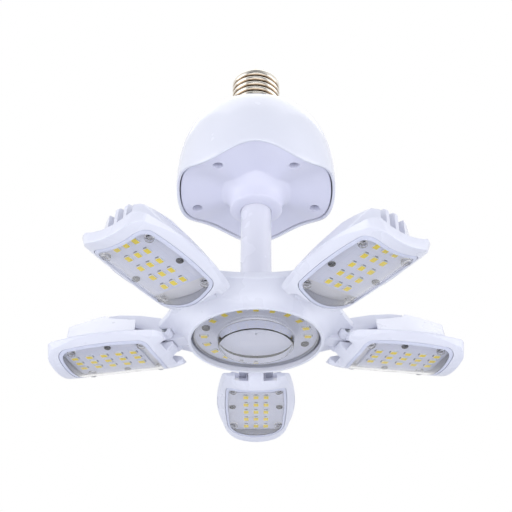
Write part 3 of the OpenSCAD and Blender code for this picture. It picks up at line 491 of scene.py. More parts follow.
coverSize = {"radius": 39.3, "recess": 1.0, "thick": 2.4, "flare": 17.0, "boss": 13.5, "bossEdge": -64.0, "crown": 1.8,
             "bore": 7.85, "seat": -48.3, "screwRing": 32.5, "well": 2.6, "wellMouth": -56.2, "wellFloor": -50.7,
             "shankHole": 1.55, "post": 3.6, "postFoot": -55.0, "postTop": -47.3,
             "screw": (2.2, 1.8, 1.5, 10.0)}  # head radius, head height, shank radius, length


def makeCover(v):
    a = fullTurn(hullColumns)
    base, edge, bore, crown = housingSize["rim"] + v["recess"], v["bossEdge"], v["bore"], v["crown"]
    rows = [(v["radius"] - 0.3, base + rimWave(a, v["radius"]))]
    rows += [(r, base + rimWave(a, r)) for r in np.linspace(v["radius"] - 0.8, v["flare"] + 1.2, 26)]
    for u in np.linspace(0.985, 0, 18):
        r = v["boss"] + (v["flare"] + 1.0 - v["boss"]) * u ** 2.2
        rows.append((r, edge + (base - edge) * u + rimWave(a, r) * u ** 3))
    inner = bore + 0.6
    rows += [(inner + (v["boss"] - inner) * np.cos(t), edge - crown * np.sin(t))
             for t in np.radians(np.linspace(8, 90, 12))]
    rows += [(bore + 0.2, edge - crown + 0.05), (bore, edge - crown + 0.4), (bore, v["seat"]), (v["flare"], v["seat"])]
    back = base + v["thick"]
    rows += [(r, back + rimWave(a, r)) for r in np.linspace(v["flare"] + 0.4, v["radius"] - 0.3, 10)]
    rows += [(v["radius"], z + rimWave(a, v["radius"])) for z in (back - 0.3, base + 0.3)]
    part = wallRound(a, rows)
    post = prism(arcPoints((0, 0), v["post"], 0, 350, 36), v["postFoot"], v["postTop"])
    mouth, floor, hole = v["well"] + 0.25, v["wellFloor"], v["shankHole"]
    well = lathe([(0.01, -60), (mouth, -60), (mouth, v["wellMouth"]), (v["well"], v["wellMouth"] + 0.5),
                  (v["well"], floor), (hole, floor), (hole, -46), (0.01, -46)], 40, False)
    for tool, operation in ((post, "UNION"), (well, "DIFFERENCE")):
        for i in range(panelCount):
            part = carved(part, outwards(moved(tool, x=v["screwRing"]), panelStep * i), operation)
    makePiece("housingCoverDisc", part, "lamp", coverWhite, ["housing_cover"], "pale_cover", sharp=32)


makeCover(coverSize)


# --- screws: a domed head turned round its axis, with a cross cut into it

crossSlot = {"reach": 0.62, "half": 0.13, "floor": 0.45}  # shares of the head's radius, the last of its height


def crossScrew(head, height, shank, length):
    # head downwards: outside its flat middle the dome's radius falls as cos and its depth grows as sin of one angle
    bend = np.radians(np.linspace(0, 80, 7))
    profile = [(0.01, length), (shank - 0.3, length), (shank, length - 0.3), (shank, 0.0), (head, 0.0)]
    profile += [(head * (0.55 + 0.45 * np.cos(t)), -height * (0.35 + 0.65 * np.sin(t))) for t in bend]
    profile += [(0.01, -height)]
    part = lathe(profile, 32, closedRows=False)
    x, y = head * crossSlot["reach"], head * crossSlot["half"]
    for k in (0, 90):
        part = carved(part, spun(box((-x, -y, -height - 1), (x, y, -height * crossSlot["floor"])), k))
    return part


coverScrew = moved(crossScrew(*coverSize["screw"]), x=coverSize["screwRing"], z=coverSize["wellFloor"])
makePiece("coverScrews", joined([outwards(coverScrew, panelStep * i) for i in range(panelCount)]), "lamp", zincSteel,
          ["cover_screws"], "zinc_steel")


# --- stem: a drawn tube with small turned edges

stemSize = {"outer": 7.8, "bore": 6.6, "foot": -130.7, "top": -43.3}


def makeStem(v):
    heights = np.linspace(v["foot"] + 0.3, v["top"] - 0.3, 30)
    profile = [(v["bore"], v["foot"]), (v["outer"] - 0.3, v["foot"]), *[(v["outer"], h) for h in heights],
               (v["outer"] - 0.3, v["top"]), (v["bore"], v["top"])]
    makePiece("stemTube", lathe(profile, 128), "lamp", stemWhite, ["stem_tube"], "white_tube")


makeStem(stemSize)
print("base, housing and stem made")


# --- hub: outline radius = the smaller of a concave arc between the panels and a flat in front of each panel;
# its underside sweeps down a quarter-round cove to the rim of the centre light

hubSize = {"top": -128.7, "plate": -132.0, "rimEdge": -142.0, "rimInner": 31.0, "cove": 11.1, "coveReach": 43.5,
           "sideReach": 42.0, "sideArc": 81.0, "flatReach": 45.9, "boss": 12.0, "bossTop": -121.7, "socket": 7.85,
           "socketFoot": -130.7, "bore": 6.6, "notchReach": 40.3, "notchHalf": 9.3, "tongueHalf": 4.0,
           "tongueRound": 3.3, "columns": 720}


def makeHub(v):
    a = fullTurn(v["columns"])
    fifth = 2 * np.pi / panelCount
    fromPanel = (a + fifth / 2) % fifth - fifth / 2
    fromGap = fifth / 2 - np.abs(fromPanel)
    centre = v["sideReach"] + v["sideArc"]
    side = centre * np.cos(fromGap) - np.sqrt(v["sideArc"] ** 2 - (centre * np.sin(fromGap)) ** 2)
    reach = np.minimum(side, v["flatReach"] / np.cos(fromPanel))
    coveZ = v["plate"] - v["cove"]

    def coveHeight(r):
        return coveZ + np.sqrt(v["cove"] ** 2 - (v["coveReach"] - np.minimum(r, v["coveReach"])) ** 2)

    boss, bossTop, top, socket = v["boss"], v["bossTop"], v["top"], v["socket"]
    rows = [(socket, v["socketFoot"]), (socket, bossTop - 0.4), (socket + 0.4, bossTop), (boss - 0.6, bossTop),
            (boss - 0.18, bossTop - 0.18), (boss, bossTop - 0.6), (boss, top + 0.8), (boss + 0.24, top + 0.24),
            (boss + 0.8, top)]
    rows += [(boss + 0.8 + (reach - 0.5 - boss - 0.8) * f, top) for f in np.linspace(0.1, 1, 8)]
    low = coveHeight(reach)
    rows += [(reach - 0.15, top - 0.15), (reach, top - 0.5), (reach, low + 0.45), (reach - 0.13, low + 0.13),
             (reach - 0.45, coveHeight(reach - 0.45))]
    start = np.arcsin((v["coveReach"] - np.minimum(reach - 0.6, v["coveReach"])) / v["cove"])
    end = np.arccos((v["rimEdge"] + 0.3 - coveZ) / v["cove"])
    for f in np.linspace(0, 1, 26):
        bend = start + (end - start) * f
        rows.append((v["coveReach"] - v["cove"] * np.sin(bend), coveZ + v["cove"] * np.cos(bend)))
    rim, inner, foot, back = v["coveReach"] - v["cove"] * np.sin(end), v["rimInner"], v["rimEdge"], chipsZ + ceiling
    rows += [(rim - 0.1, foot + 0.08), (rim - 0.35, foot), (inner + 0.3, foot), (inner + 0.06, foot + 0.08),
             (inner, foot + 0.35), (inner, back), (inner - 2, back), (v["bore"], back), (v["bore"], v["socketFoot"])]
    part = wallRound(a, rows)
    notch = box((v["notchReach"], -v["notchHalf"], -150), (60, v["notchHalf"], -110))
    for i in range(panelCount):
        part = carved(part, outwards(notch, panelStep * i))
    root, r = inner + 0.3, v["tongueRound"]
    outline = np.array([(root, pivotHeight - r), *arcPoints((pivotReach, pivotHeight), r, -90, 90, 19),
                        (root, pivotHeight + r)])
    tongue = sideways(prism(outline, -v["tongueHalf"], v["tongueHalf"], 0.35))
    part = joined([part] + [outwards(tongue, panelStep * i) for i in range(panelCount)])
    makePiece("hubBody", part, "lamp", castingWhite, ["hub"], "white_casting", sharp=30)


makeHub(hubSize)


# --- centre light: board, chips, lens with a raised middle, screws

ringSize = {"board": 28.95, "chipRing": 24.6, "places": 20, "gapFrom": 99, "gapTo": 171, "screwAngles": (108, 288),
            "lens": 30.75, "lensWall": 0.8, "disc": 18.0, "discDrop": 6.0, "ringDrop": 1.6, "draft": 0.5, "edge": 0.8,
            "columns": 180, "screwRoom": 9, "screw": (2.0, 1.1, 1.1, 3.0)}
chipSize = {"length": 3.5, "width": 2.8, "height": 0.7, "padHalf": 0.85}
chipLooks, lensLooks = [chipFrame, phosphor, solder], [clearPlastic, frostedEdge]


def roundedBox(length, width, corner, points):
    # outline of a rectangle with rounded corners, a fixed number of points at each corner
    arcs = [arcPoints((sx * (length / 2 - corner), sy * (width / 2 - corner)), corner, start, start + 90, points)
            for sx, sy, start in ((1, 1, 0), (-1, 1, 90), (-1, -1, 180), (1, -1, 270))]
    return np.concatenate(arcs)


def chipPart(v):
    # body from the board down to the face, then in over the frame and down into the window: (inset, height, corner)
    levels = [(0.0, v["height"], 0.25), (0.0, 0.1, 0.25), (0.07, 0.0, 0.25), (0.12, 0.0, 0.3), (0.17, 0.05, 0.3),
              (0.8, 0.03, 0.25)]
    rings = [np.c_[roundedBox(v["length"] - 2 * inset, v["width"] - 2 * inset, corner, 3), np.full(12, h)]
             for inset, h, corner in levels]
    # four bands of frame, one of the window's slope, and the caps at the back and in the window
    return ringSolid(np.array(rings)), [0] * 12 * 4 + [1] * 12 + [0, 1]


def padPart(v):
    # tin fillets at the ends of a chip: their tops slope from the chip down to the board
    end, low = v["length"] / 2, v["height"] + 0.02
    slope = np.array([(end - 0.1, low), (end - 0.1, low - 0.3), (end + 0.05, low - 0.3), (end + 0.45, low - 0.03),
                      (end + 0.45, low)])
    return joined([sideways(prism(slope * [side, 1], -v["padHalf"], v["padHalf"])) for side in (-1, 1)])


def chipGroup(places):
    # one chip with its pads at each (x, y, turn), and which of the chip's materials each face has
    chip, kinds = chipPart(chipSize)
    pads = padPart(chipSize)
    whole = joined([moved(spun(part, turn), x, y) for x, y, turn in places for part in (chip, pads)])
    return whole, (kinds + [2] * len(pads[1])) * len(places)


def makeRingLight(v):
    def onRing(angle):
        t = radians(angle - 90)
        return v["chipRing"] * np.cos(t), v["chipRing"] * np.sin(t)

    angles = [360 / v["places"] * k for k in range(v["places"])]
    places = [(*onRing(angle), angle - 90) for angle in angles if not v["gapFrom"] < angle < v["gapTo"]
              and min(abs(angle - s) for s in v["screwAngles"]) >= v["screwRoom"]]
    chips, kinds = chipGroup(places)
    makePiece("centreChips", moved(chips, z=chipsZ), "lamp", chipLooks, ["hub_chips"], "light_chip", local=chips[0],
              materialOf=kinds)
    back, face = chipsZ + ceiling, chipsZ + chipSize["height"]
    board = lathe([(0.5, back), (v["board"], back), (v["board"], face + 0.1), (v["board"] - 0.1, face), (0.5, face)],
                  160)
    makePiece("centreBoard", board, "lamp", boardMask, ["hub_board"], "light_board", local=board[0])
    r, d, ring = v["disc"], chipsZ - v["discDrop"], chipsZ - v["ringDrop"]
    wall = v["lens"] - v["lensWall"]
    profile = [(0.02, d), (r * 0.5, d), *arcPoints((r - v["edge"], d + v["edge"]), v["edge"], -90, -10, 6),
               (r + v["draft"] - 0.1, ring - 0.1), (r + v["draft"] + 0.2, ring),
               *arcPoints((v["lens"] - v["edge"], ring + v["edge"]), v["edge"], -90, 0, 6),
               (v["lens"], back), (wall, back), (wall, ring + v["lensWall"] + 0.3), (wall - 0.3, ring + v["lensWall"]),
               (r - v["lensWall"] + v["draft"], ring + v["lensWall"]), (r - v["lensWall"], d + v["lensWall"]),
               (0.02, d + v["lensWall"])]
    part = lathe(profile, v["columns"])
    row = np.arange(len(part[1])) // v["columns"]
    frosted = (row > 12) & (row < 17)  # the end of the rounded edge, the wall and its back
    makePiece("centreLens", part, "lamp", lensLooks, ["hub_lens"], "clear_lens", sharp=25,
              materialOf=frosted.astype(int))
    screw = crossScrew(*v["screw"])
    screws = joined([moved(screw, *onRing(angle), face) for angle in v["screwAngles"]])
    makePiece("centreBoardScrews", screws, "lamp", darkSteel, ["hub_board_screws"], "dark_screw")


makeRingLight(ringSize)
print("hub and centre light made")


# --- panels: each casting is a top surface and an underside over one outline, top = the highest of tray, block, arm and
# fins at (l, s), underside = a cylinder's belly; the pocket for the light is cut out of it

castingSize = {
    "ear": 41.5, "tip": 104.5, "widest": 74.0,  # distances of the outline from the lamp axis
    "half": 20.9, "tipHalf": 16.4, "earHalf": 16.8, "earCorner": 2.0, "tipCorner": 6.8,  # its half widths and corners
    "top": 4.3, "earDrop": 1.3, "tipWall": 5.6, "edge": 0.45, "lowEdge": 0.35,
    "belly": 30.5, "bellyDrop": 4.2, "sideSlope": np.tan(radians(20)), "flankSlope": np.tan(radians(36)),
    "blockRoot": 55.0, "rootFrom": 18.5, "rootSlope": 0.5, "ridge": 77.0, "cheekBack": 8.0,
    "finTip": 98.0, "slotHalf": 6.6, "slotFloor": 6.3, "finFrom": 1.6, "finTo": 3.4, "finRise": 2.0,
    "armRoot": 48.0, "armHalf": 5.0, "notchHalf": 10.8,
    "hingeGap": 0.3, "tongueHalf": 4.0, "knuckle": 3.3, "knuckleOut": 8.9, "webHalf": 3.9}
noseSize = {"from": 47.0, "run": 3.0, "rise": 3.8, "earFrom": 49.5, "earRun": 8.0, "earRise": 1.9, "half": 13.0,
            "blend": 4.0}
# seen from the side: the tops of the arm and of the block, as distances and heights, then (distance, height) corners of
# the knuckles' arm, of the cut beside the tongue, which ends under the tray's top, and of the web between two openings
armLine = ([48.0, 59.5, 71.0, 77.0], [17.6, 20.55, 22.3, 22.3])
rise = np.linspace(0, 1, 9)
sideLine = (np.concatenate([55 + 19 * rise, [76.0, 77.0, 96.76, 98.0]]),
            np.concatenate([13.8 + 4.1 * rise ** 2, [20.1, 20.3, 15.78, 15.5]]))
knuckleLine = [(50.0, 7.4), (56.0, 10.3), (62.5, 12.0), (62.5, 13.6), (48.5, 11.9)]
notchLine = [(35, -12), (44.0, -12), (44.0, -0.4), (48.0, 3.8), (49.0, castingSize["top"]), (49.0, 6), (35, 6)]
webLine = [(46.9, -4.0), (44.0, -0.45), (41.7, 2.4), (41.2, 3.2), (41.2, 4.1), (41.6, 4.5), (49.5, 4.2), (49.5, 2.5),
           (46.9, 2.5)]
lensSize = {
    "root": 47.4, "tip": 98.4, "half": 16.3, "endHalf": 14.8, "rootCorner": 5.0, "corner": 5.8, "bow": 30.0,
    "cornerAt": 7.0, "thick": 1.0, "edge": 0.4, "gap": 0.25, "ledge": 0.6, "boardRoot": 57.0,
    "pegRoot": 53.9, "pegTip": 91.2, "pegAcross": 12.0, "peg": 1.1, "pegHole": 1.5, "collar": 2.1,
    "screwReach": 71.7, "screwAcross": 12.2, "screw": (1.7, 0.9, 1.1, 3.1)}
pinSize = {"radius": 1.5, "end": 0.9, "past": 0.25}
hair, nowhere = 1e-6, -99.0  # a point this near a wall counts as on it; a height below everything


def arcRadius(reach, sag):
    return (reach ** 2 + sag ** 2) / (2 * sag)


def sideRadius(l):
    # of the two arcs that each side of the outline follows, before and past the widest line
    v = castingSize
    return np.where(l > v["widest"], arcRadius(v["tip"] - v["widest"], v["half"] - v["tipHalf"]),
                    arcRadius(v["widest"] - v["ear"], v["half"] - v["earHalf"]))


def bellyHeight(s, inset=0.0):
    # underside of the panel, a cylinder along it; inset is how far inside that cylinder
    v = castingSize
    return v["belly"] - v["bellyDrop"] - np.sqrt((v["belly"] - inset) ** 2 - s ** 2)


def halfWidth(l):
    # two arcs that meet at the widest line, and a quarter-round at each end
    v = castingSize
    c = np.where(l > v["widest"], v["tipCorner"], v["earCorner"])
    inner = np.clip(l, v["ear"] + v["earCorner"], v["tip"] - v["tipCorner"])
    r = sideRadius(inner)
    w = v["half"] - r + np.sqrt(r ** 2 - (inner - v["widest"]) ** 2)
    return w - c + np.sqrt(np.clip(c ** 2 - (l - inner) ** 2, 0, None))


def rounded(d, radius):
    # how far a top falls at distance d inside its edge, for a quarter-round of that radius
    return radius - np.sqrt(radius ** 2 - (radius - np.clip(d, 0, radius)) ** 2)


def softMin(a, b, k):
    # the smaller of two heights, with a smooth change over from one to the other about k wide
    h = np.clip(0.5 + 0.5 * (b - a) / k, 0, 1)
    return b + (a - b) * h - k * h * (1 - h)


def cheekReach(s):
    # where the block ends: at the fin tips in the middle, and falling back towards the flanks
    v = castingSize
    return v["finTip"] - np.clip(np.abs(s) - v["slotHalf"], 0, None) * v["cheekBack"] / (v["half"] - v["slotHalf"])


def rootReach(s):
    # where the block starts: at its root by the flanks, and further out towards the arm
    v = castingSize
    return v["blockRoot"] + np.clip(v["rootFrom"] - np.abs(s), 0, None) * v["rootSlope"]


def castingTop(l, s):
    # the highest of tray, block, arm, fins and the floor of their slots, each only where it stands
    v = castingSize
    a = np.abs(s)
    tray = v["top"] - np.interp(l, [v["ear"], v["ear"] + 1, v["ear"] + 4], [v["earDrop"], v["earDrop"] * 0.6, 0])
    # past the pocket the tray dips to a wall of even height over the belly
    lip = bellyHeight(np.minimum(a, 20)) + v["tipWall"]
    tray = tray + (np.minimum(tray, lip) - tray) * np.interp(l, [v["finTip"], v["finTip"] + 1.4], [0, 1])
    r = sideRadius(l)
    flank = v["top"] + (r - np.hypot(l - v["widest"], a - v["half"] + r)) / v["flankSlope"]
    body = softMin(np.interp(l, *sideLine), flank, 0.7)
    # distances inside the walls; the slanting ends' are taken square to them
    toEnds = np.minimum((l - rootReach(s)) * 0.89, (cheekReach(s) - l) * 0.87)
    inside = np.minimum(toEnds, np.maximum(v["ridge"] - l, a - v["slotHalf"]))
    block = np.where(inside >= -hair, body - rounded(inside, 0.6), nowhere)
    inArm = np.minimum(np.minimum(l - v["armRoot"], v["armHalf"] - a), v["ridge"] - l + 2)
    arm = np.where((inArm >= -hair) & (l <= v["ridge"] + hair), np.interp(l, *armLine) - rounded(inArm, 0.6), nowhere)
    beforeTips = l <= v["finTip"] + hair
    inFin = (v["finTo"] - v["finFrom"]) / 2 - np.abs(a - (v["finTo"] + v["finFrom"]) / 2)
    finTop = np.interp(l, *sideLine) + v["finRise"] - rounded(inFin, 0.35) - rounded(v["finTip"] - l, 1.5)
    fin = np.where((inFin >= -hair) & (l >= v["ridge"] - hair) & beforeTips, finTop, nowhere)
    floor = np.where((l > v["ridge"]) & beforeTips & (a <= v["slotHalf"] + hair), v["slotFloor"], nowhere)
    highest = np.maximum.reduce([tray, block, arm, fin, floor])
    fromEdge = np.minimum(np.minimum(halfWidth(l) - a, v["tip"] - l), l - v["ear"])
    return highest - rounded(fromEdge, v["edge"])


def castingGrid():
    # columns sit on both sides of each upright wall, rows do the same and bend along the slanting block ends
    v = castingSize
    inner = np.array([0, 0.8, 1.5, 1.6, 1.66, 1.8, 2.1, 2.5, 2.9, 3.2, 3.34, 3.4, 3.5, 4.2, 4.55, 4.8, 4.93, 5.0, 5.1,
                      5.8, 6.5, 6.6, 6.68, 6.85, 7.2])
    shares = np.linspace(0, 1, 34)[1:]
    ends = np.array([0.3, 0.16, 0.06, 0.0])
    turn = np.linspace(0, np.pi / 2, 9)
    rows = [v["ear"] + v["earCorner"] * (1 - np.cos(turn)),
            [44.1, 44.8, 45.5, 46.4, 47.3, 47.88, 48.0, 48.08, 48.25, 48.7, 49.3], np.linspace(50, 54.4, 9),
            [54.9, 55.0, 55.08, 55.25, 55.6], np.linspace(56.2, 73.4, 44),
            [74.0, 74.6, 75.3, 76.0, 76.4, 76.7, 76.9, 77.0, 77.1], np.linspace(77.6, 85, 18)]
    straight = np.concatenate([np.asarray(r, float) for r in rows])
    back = np.concatenate([np.linspace(0, 1, 22)[1:-1], [1.0]])
    wall = np.array([-0.45, -0.28, -0.12, -0.03, 0.0, 0.1])
    ahead = np.sin(np.linspace(0, np.pi / 2, 20)[1:])
    count = len(straight) + len(back) - 1 + len(wall) + len(ahead)

    def reachOf(s):
        # distances of the rows: straight ones that bend with the block's root, then those that bend with its end
        toWall = len(straight) + len(back) - 1
        cheek = np.split(cheekReach(s), [len(straight), toWall, toWall + len(wall)])
        follow = np.interp(straight[:, None], [49.3, 54.9, 55.6, 73.4], [0, 1, 1, 0])
        base = straight[-1]
        return np.concatenate([straight[:, None] + follow * (rootReach(s[:len(straight)]) - v["blockRoot"]),
                               base + (cheek[1] - 0.6 - base) * back[:-1, None], cheek[2] + wall[:, None],
                               cheek[3] + 0.1 + (v["tip"] - cheek[3] - 0.1) * ahead[:, None]])

    def acrossOf(l):
        # distances from the panel's middle: fixed ones over the fins, and the rest shared out up to the edge
        w = halfWidth(l[:, -1:])
        outer = inner[-1] + (w - 0.5 - inner[-1]) * shares[None, :]
        edge = w - ends[None, :]
        half = np.concatenate([np.repeat(inner[None, :], count, 0), outer, edge], 1)
        return np.concatenate([-half[:, :0:-1], half], 1)

    side = len(inner) + len(shares) + len(ends) - 1
    first = np.concatenate([-np.linspace(20, 0.1, side), [0], np.linspace(0.1, 20, side)])
    s = np.repeat(first[None, :], count, 0)
    for _ in range(12):  # until both fit each other
        l = reachOf(s)
        s = acrossOf(l)
    return l, s


def noseRise(l, s):
    # how far the underside rises from the belly towards the root: steeply in the middle, gently at the ears
    v = noseSize
    middle = v["rise"] * np.clip((v["from"] - l) / v["run"], 0, 1.4) ** 1.15
    ear = v["earRise"] * np.clip((v["earFrom"] - l) / v["earRun"], 0, 1) ** 1.5
    share = np.clip((v["half"] - np.abs(s)) / v["blend"], 0, 1)
    return ear + (middle - ear) * share * share * (3 - 2 * share)


def makeCasting():
    # top and underside over one grid, a wall round them, the light's pocket and the hinge's cut, knuckles and web
    v = castingSize
    l, s = castingGrid()
    rows, columns = l.shape
    top = np.stack([l, s, castingTop(l, s)], -1)
    w = halfWidth(l)
    edge = w.copy()
    for _ in range(30):  # where the drafted side meets the belly
        edge = w - v["sideSlope"] * (v["top"] - bellyHeight(edge))
    sLow = s * edge / w
    low = bellyHeight(sLow) + noseRise(l, sLow)
    fromEdge = np.minimum(np.minimum(edge - np.abs(sLow), v["tip"] - l), l - v["ear"])
    low = np.minimum(low + rounded(fromEdge, v["lowEdge"]), top[..., 2] - 0.2)
    points = np.concatenate([top.reshape(-1, 3), np.stack([l, sLow, low], -1).reshape(-1, 3)])
    quads = gridFaces(rows, columns, closedColumns=False)
    under = rows * columns
    faces = quads + [tuple(k + under for k in q[::-1]) for q in quads]
    index = np.arange(under).reshape(rows, columns)
    loop = np.concatenate([index[0, :-1], index[:-1, -1], index[-1, :0:-1], index[:0:-1, 0]])
    after = np.roll(loop, -1)
    faces += [tuple(q) for q in np.stack([after, loop, loop + under, after + under], -1).tolist()]
    part = facedOut(points, faces)
    part = carved(part, prism(lensOutline(-lensSize["gap"]), -12, ceiling))
    part = carved(part, sideways(prism(notchLine, -v["notchHalf"], v["notchHalf"])))
    outline = np.concatenate([knuckleLine, arcPoints((pivotReach, pivotRise), v["knuckle"], 90, 280, 24)])
    near = v["tongueHalf"] + v["hingeGap"]
    knuckle = sideways(prism(outline, near, v["knuckleOut"], 0.3))
    other = sideways(prism(outline, -v["knuckleOut"], -near, 0.3))
    return joined([part, knuckle, other, sideways(prism(webLine, -v["webHalf"], v["webHalf"], 0.25))])


def lensOutline(inset):
    # one round of the lens outline, drawn in by inset: sides whose half width falls as the square of the distance from
    # the middle, a straight tip, a root on an arc about a point on the panel, and a round at each corner
    v = lensSize
    middle, reach = (v["root"] + v["tip"]) / 2, (v["tip"] - v["root"]) / 2

    def half(l):
        return v["half"] - (v["half"] - v["endHalf"]) * ((l - middle) / reach) ** 2

    def rootLine(s):
        return v["root"] + v["bow"] - np.sqrt((v["bow"] - inset) ** 2 - s ** 2)

    l1 = v["tip"] - v["corner"]
    across = half(v["root"] + v["cornerAt"]) - v["rootCorner"]
    l0 = v["root"] + v["bow"] - np.sqrt(v["bow"] ** 2 - across ** 2) + v["rootCorner"]
    along = np.linspace(l0, l1, 22)[1:-1]
    side = np.concatenate([arcPoints((l0, half(l0) - v["rootCorner"]), v["rootCorner"] - inset, 170, 90, 10),
                           np.c_[along, half(along) - inset],
                           arcPoints((l1, half(l1) - v["corner"]), v["corner"] - inset, 90, 0, 10)])
    end = np.linspace(side[-1, 1], -side[-1, 1], 14)[1:-1]
    start = np.linspace(-side[0, 1], side[0, 1], 14)[1:-1]
    return np.concatenate([side, np.c_[np.full(len(end), side[-1, 0]), end], side[::-1] * [1, -1],
                           np.c_[rootLine(start), start]])


def pegPlaces():
    v = lensSize
    return [(l, side * v["pegAcross"]) for l in (v["pegRoot"], v["pegTip"]) for side in (-1, 1)]


def makePanelLens():
    # outer face on the belly, rounded edge, wall, and the same way back at the wall's thickness; clear pegs inside
    v, edge = lensSize, lensSize["edge"]
    middle = np.array([(v["root"] + v["tip"]) / 2, 0])

    def belly(xy, inset):
        return bellyHeight(xy[:, 1], inset)

    def spread(outline, f):
        return middle + (outline - middle) * f

    outer, inside = lensOutline(edge), lensOutline(v["thick"])
    rings = [np.c_[spread(outer, f), belly(spread(outer, f), 0)] for f in np.linspace(0.02, 1, 18)]
    for t in np.radians([25, 50, 75]):
        xy = lensOutline(edge - edge * np.sin(t))
        rings.append(np.c_[xy, belly(outer, 0) + edge * (1 - np.cos(t)) + 0.05])
    full = lensOutline(0)
    rings += [np.c_[full, belly(full, 0) + edge + 0.1], np.c_[full, np.full(len(full), ceiling)],
              np.c_[inside, np.full(len(full), ceiling)]]
    for f in np.linspace(1, 0.02, 18):
        xy = spread(inside, f)
        rings.append(np.c_[xy, np.minimum(belly(xy, v["thick"]), v["ledge"])])
    lens = ringSolid(np.array(rings))
    pegs = []
    for l, s in pegPlaces():
        foot = belly(np.array([[l, s]]), v["thick"])[0] - 0.5
        shoulder, end = v["ledge"] + 0.02, ceiling + 0.9
        profile = [(0.02, foot), (v["collar"], foot), (v["collar"], shoulder), (v["peg"], shoulder), (v["peg"], end),
                   (0.02, end)]
        pegs.append(moved(lathe(profile, 24, False), l, s))
    columns = len(full)
    row = np.arange((len(rings) - 1) * columns) // columns
    frosted = ((row > 15) & (row < 23)).astype(int)  # the rim of the outer face and the wall
    whole = joined([lens] + pegs)
    return whole, [*frosted, *[0] * (len(whole[1]) - len(frosted))]


def makePanels():
    c, v, face = chipGrid, lensSize, chipSize["height"]
    casting, (lens, lensKinds) = makeCasting(), makePanelLens()
    outline = lensOutline(v["thick"] + 0.3)
    board = prism(np.c_[np.maximum(outline[:, 0], v["boardRoot"]), outline[:, 1]], face, ceiling, 0.08)
    hole = lathe([(0.02, -1), (v["pegHole"], -1), (v["pegHole"], 5), (0.02, 5)], 24, False)
    for l, s in pegPlaces():
        board = carved(board, moved(hole, l, s))
    places = [(c["middle"] + (row - 2) * c["along"], (column - 1) * c["across"], 0)
              for row in range(c["rows"]) for column in range(c["columns"])]
    screw = crossScrew(*v["screw"])
    screws = joined([moved(screw, v["screwReach"], side * v["screwAcross"], face) for side in (-1, 1)])
    end, r, low, past = castingSize["knuckleOut"], pinSize["radius"], pinSize["end"], pinSize["past"]
    half = np.array([(r, end - 0.3), (r - 0.1, end), (low, end + past - 0.05), (0.02, end + past)])
    pin = moved(sideways(lathe(np.concatenate([half[::-1] * [1, -1], half]), 28, False)), pivotReach, 0, pivotRise)
    chips, chipKinds = chipGroup(places)
    pieces = [  # object, node, shape, material, slot, and what else there is to say
        ("panelCasting", "panel_{}_casting", casting, castingWhite, "white_casting",
         {"local": casting[0], "sharp": 32}),
        ("panelBoard", "panel_{}_board", board, boardMask, "light_board", {"local": board[0]}),
        ("panelChips", "panel_{}_chips", chips, chipLooks, "light_chip", {"local": chips[0], "materialOf": chipKinds}),
        ("panelLens", "panel_{}_lens", lens, lensLooks, "clear_lens",
         {"local": lens[0], "sharp": 25, "materialOf": lensKinds}),
        ("panelBoardScrews", "panel_{}_board_screws", screws, darkSteel, "dark_screw", {}),
        ("hingePin", "hinge_pin_{}", pin, zincSteel, "zinc_steel", {})]
    for i in range(panelCount):
        for name, node, shape, material, slot, more in pieces:
            makePiece(f"{name}{i + 1}", onPanel(shape, i), f"panel_{i + 1}", material, [node.format(i + 1)], slot,
                      **more)


makePanels()
print("panels made")


# --- CAD nodes that stay: the driver inside the housing and the nut

for name, material in {"driver_board": greenBoard, "driver_board_screws": zincSteel, "driver_transformer": ferrite,
                       "driver_capacitors": capacitorSleeve, "supply_leads": leadCover, "stem_nut": zincSteel}.items():
    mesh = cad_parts[name].data
    mesh.materials.clear()
    mesh.materials.append(material)


# --- stage, light and camera, in metres

stageSize = {"floor": -0.62, "reach": 6.0}
lightList = {  # name: (place, what it looks at, size, watts)
    "leftBox": ((-1.5, -0.55, 0.0), (0, 0, -0.1), 1.4, 9.8),
    "rightBox": ((1.5, -0.45, 0.0), (0, 0, -0.1), 1.4, 8.7),
    "frontFill": ((0.1, -1.7, 0.2), (0, 0, -0.1), 1.2, 3.0),
    "topBox": ((0.0, 0.3, 1.6), (0, 0, -0.1), 1.8, 9.0),
    "lowFill": ((0.0, -0.45, -0.6), (0, 0, -0.12), 1.0, 3.0),
}


def makeStage(v):
    r, z = v["reach"], v["floor"]
    mesh = bpy.data.meshes.new("floor")
    mesh.from_pydata([(-r, -r, z), (r, -r, z), (r, r, z), (-r, r, z)], [], [(0, 1, 2, 3)])
    floor = bpy.data.objects.new("floor", mesh)
    bpy.context.scene.collection.objects.link(floor)
    paper, shader = newMaterial("matStudioPaper", "#F2F3F6", Roughness=0.9)
    # through the clear lenses and in reflections it is as white as the backdrop
    path = addNode(paper, "LightPath")
    seen = addNode(paper, "Math", {"operation": "MULTIPLY_ADD", "use_clamp": True, 1: 0.7},
                   _0=(path, "Is Glossy Ray"), _2=(path, "Is Transmission Ray"))
    # for the camera it is about half as white, so that shadows still show on it
    share = addNode(paper, "Math", {"operation": "MULTIPLY_ADD", "use_clamp": True, 1: 0.55},
                    _0=(path, "Is Camera Ray"), _2=(seen, 0))
    glow = addNode(paper, "Emission", {"Color": (1, 1, 1, 1), "Strength": 1.0})
    mix = addNode(paper, "MixShader", None, _0=(share, 0), _1=(shader, "BSDF"), _2=(glow, 0))
    link(paper, mix, "Shader", paper.node_tree.nodes["Material Output"], "Surface")
    mesh.materials.append(paper)


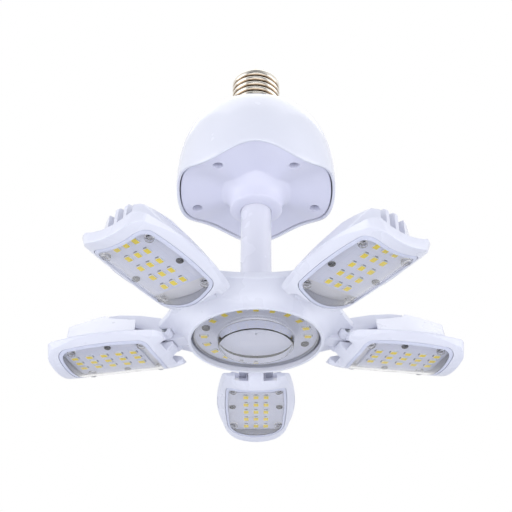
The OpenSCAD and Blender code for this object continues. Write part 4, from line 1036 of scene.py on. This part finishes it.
def makeWorld():
    # soft, slightly cool light from all round; white wherever the camera, a reflection or a lens looks past the lamp
    world = bpy.data.worlds.new("studio")
    bpy.context.scene.world = world
    world.use_nodes = True
    light = world.node_tree.nodes["Background"]
    light.inputs["Color"].default_value = linear("#DDE3F6")
    light.inputs["Strength"].default_value = 0.51
    white = addNode(world, "Background", {"Color": (1, 1, 1, 1)})
    place = addNode(world, "TexCoord")
    parts = addNode(world, "SeparateXYZ", None, _0=(place, "Generated"))
    half = addNode(world, "Math", {"operation": "MULTIPLY_ADD", 1: 0.5, 2: 0.5}, _0=(parts, "Y"))
    ramp = addNode(world, "ValToRGB", None, _0=(half, 0))  # the unlit end of the studio lies in the -Y direction
    stops = ramp.color_ramp.elements
    stops[0].position, stops[0].color = 0.06, (0.03, 0.03, 0.035, 1)
    stops[1].position, stops[1].color = 0.32, (1, 1, 1, 1)
    mirrored = addNode(world, "Background", None, Color=(ramp, 0))
    path = addNode(world, "LightPath")
    past = addNode(world, "Math", {"operation": "ADD", "use_clamp": True}, _0=(path, "Is Camera Ray"),
                   _1=(path, "Is Transmission Ray"))
    mix = addNode(world, "MixShader", None, _0=(path, "Is Glossy Ray"), _1=(light, 0), _2=(mirrored, 0))
    whole = addNode(world, "MixShader", None, _0=(past, 0), _1=(mix, 0), _2=(white, 0))
    link(world, whole, 0, world.node_tree.nodes["World Output"], "Surface")


def makeLights(lights):
    for name, (place, target, size, watts) in lights.items():
        data = bpy.data.lights.new(name, "AREA")
        data.shape, data.size, data.energy = "SQUARE", size, watts
        lamp = bpy.data.objects.new(name, data)
        bpy.context.scene.collection.objects.link(lamp)
        lamp.location = place
        lamp.rotation_euler = (Vector(target) - Vector(place)).to_track_quat("-Z", "Y").to_euler()


cameraSize = {"lens": 73.343, "sensor": 36, "place": (0, -0.4391, -0.3791), "tilt": 123.11}


def makeCamera(v):
    data = bpy.data.cameras.new("camera")
    data.lens, data.sensor_width = v["lens"], v["sensor"]
    camera = bpy.data.objects.new("camera", data)
    bpy.context.scene.collection.objects.link(camera)
    camera.location = v["place"]
    camera.rotation_euler = (radians(v["tilt"]), 0, 0)
    bpy.context.scene.camera = camera


makeStage(stageSize)
makeWorld()
makeLights(lightList)
makeCamera(cameraSize)
bpy.context.scene.view_settings.view_transform = "Standard"

print("scene made")
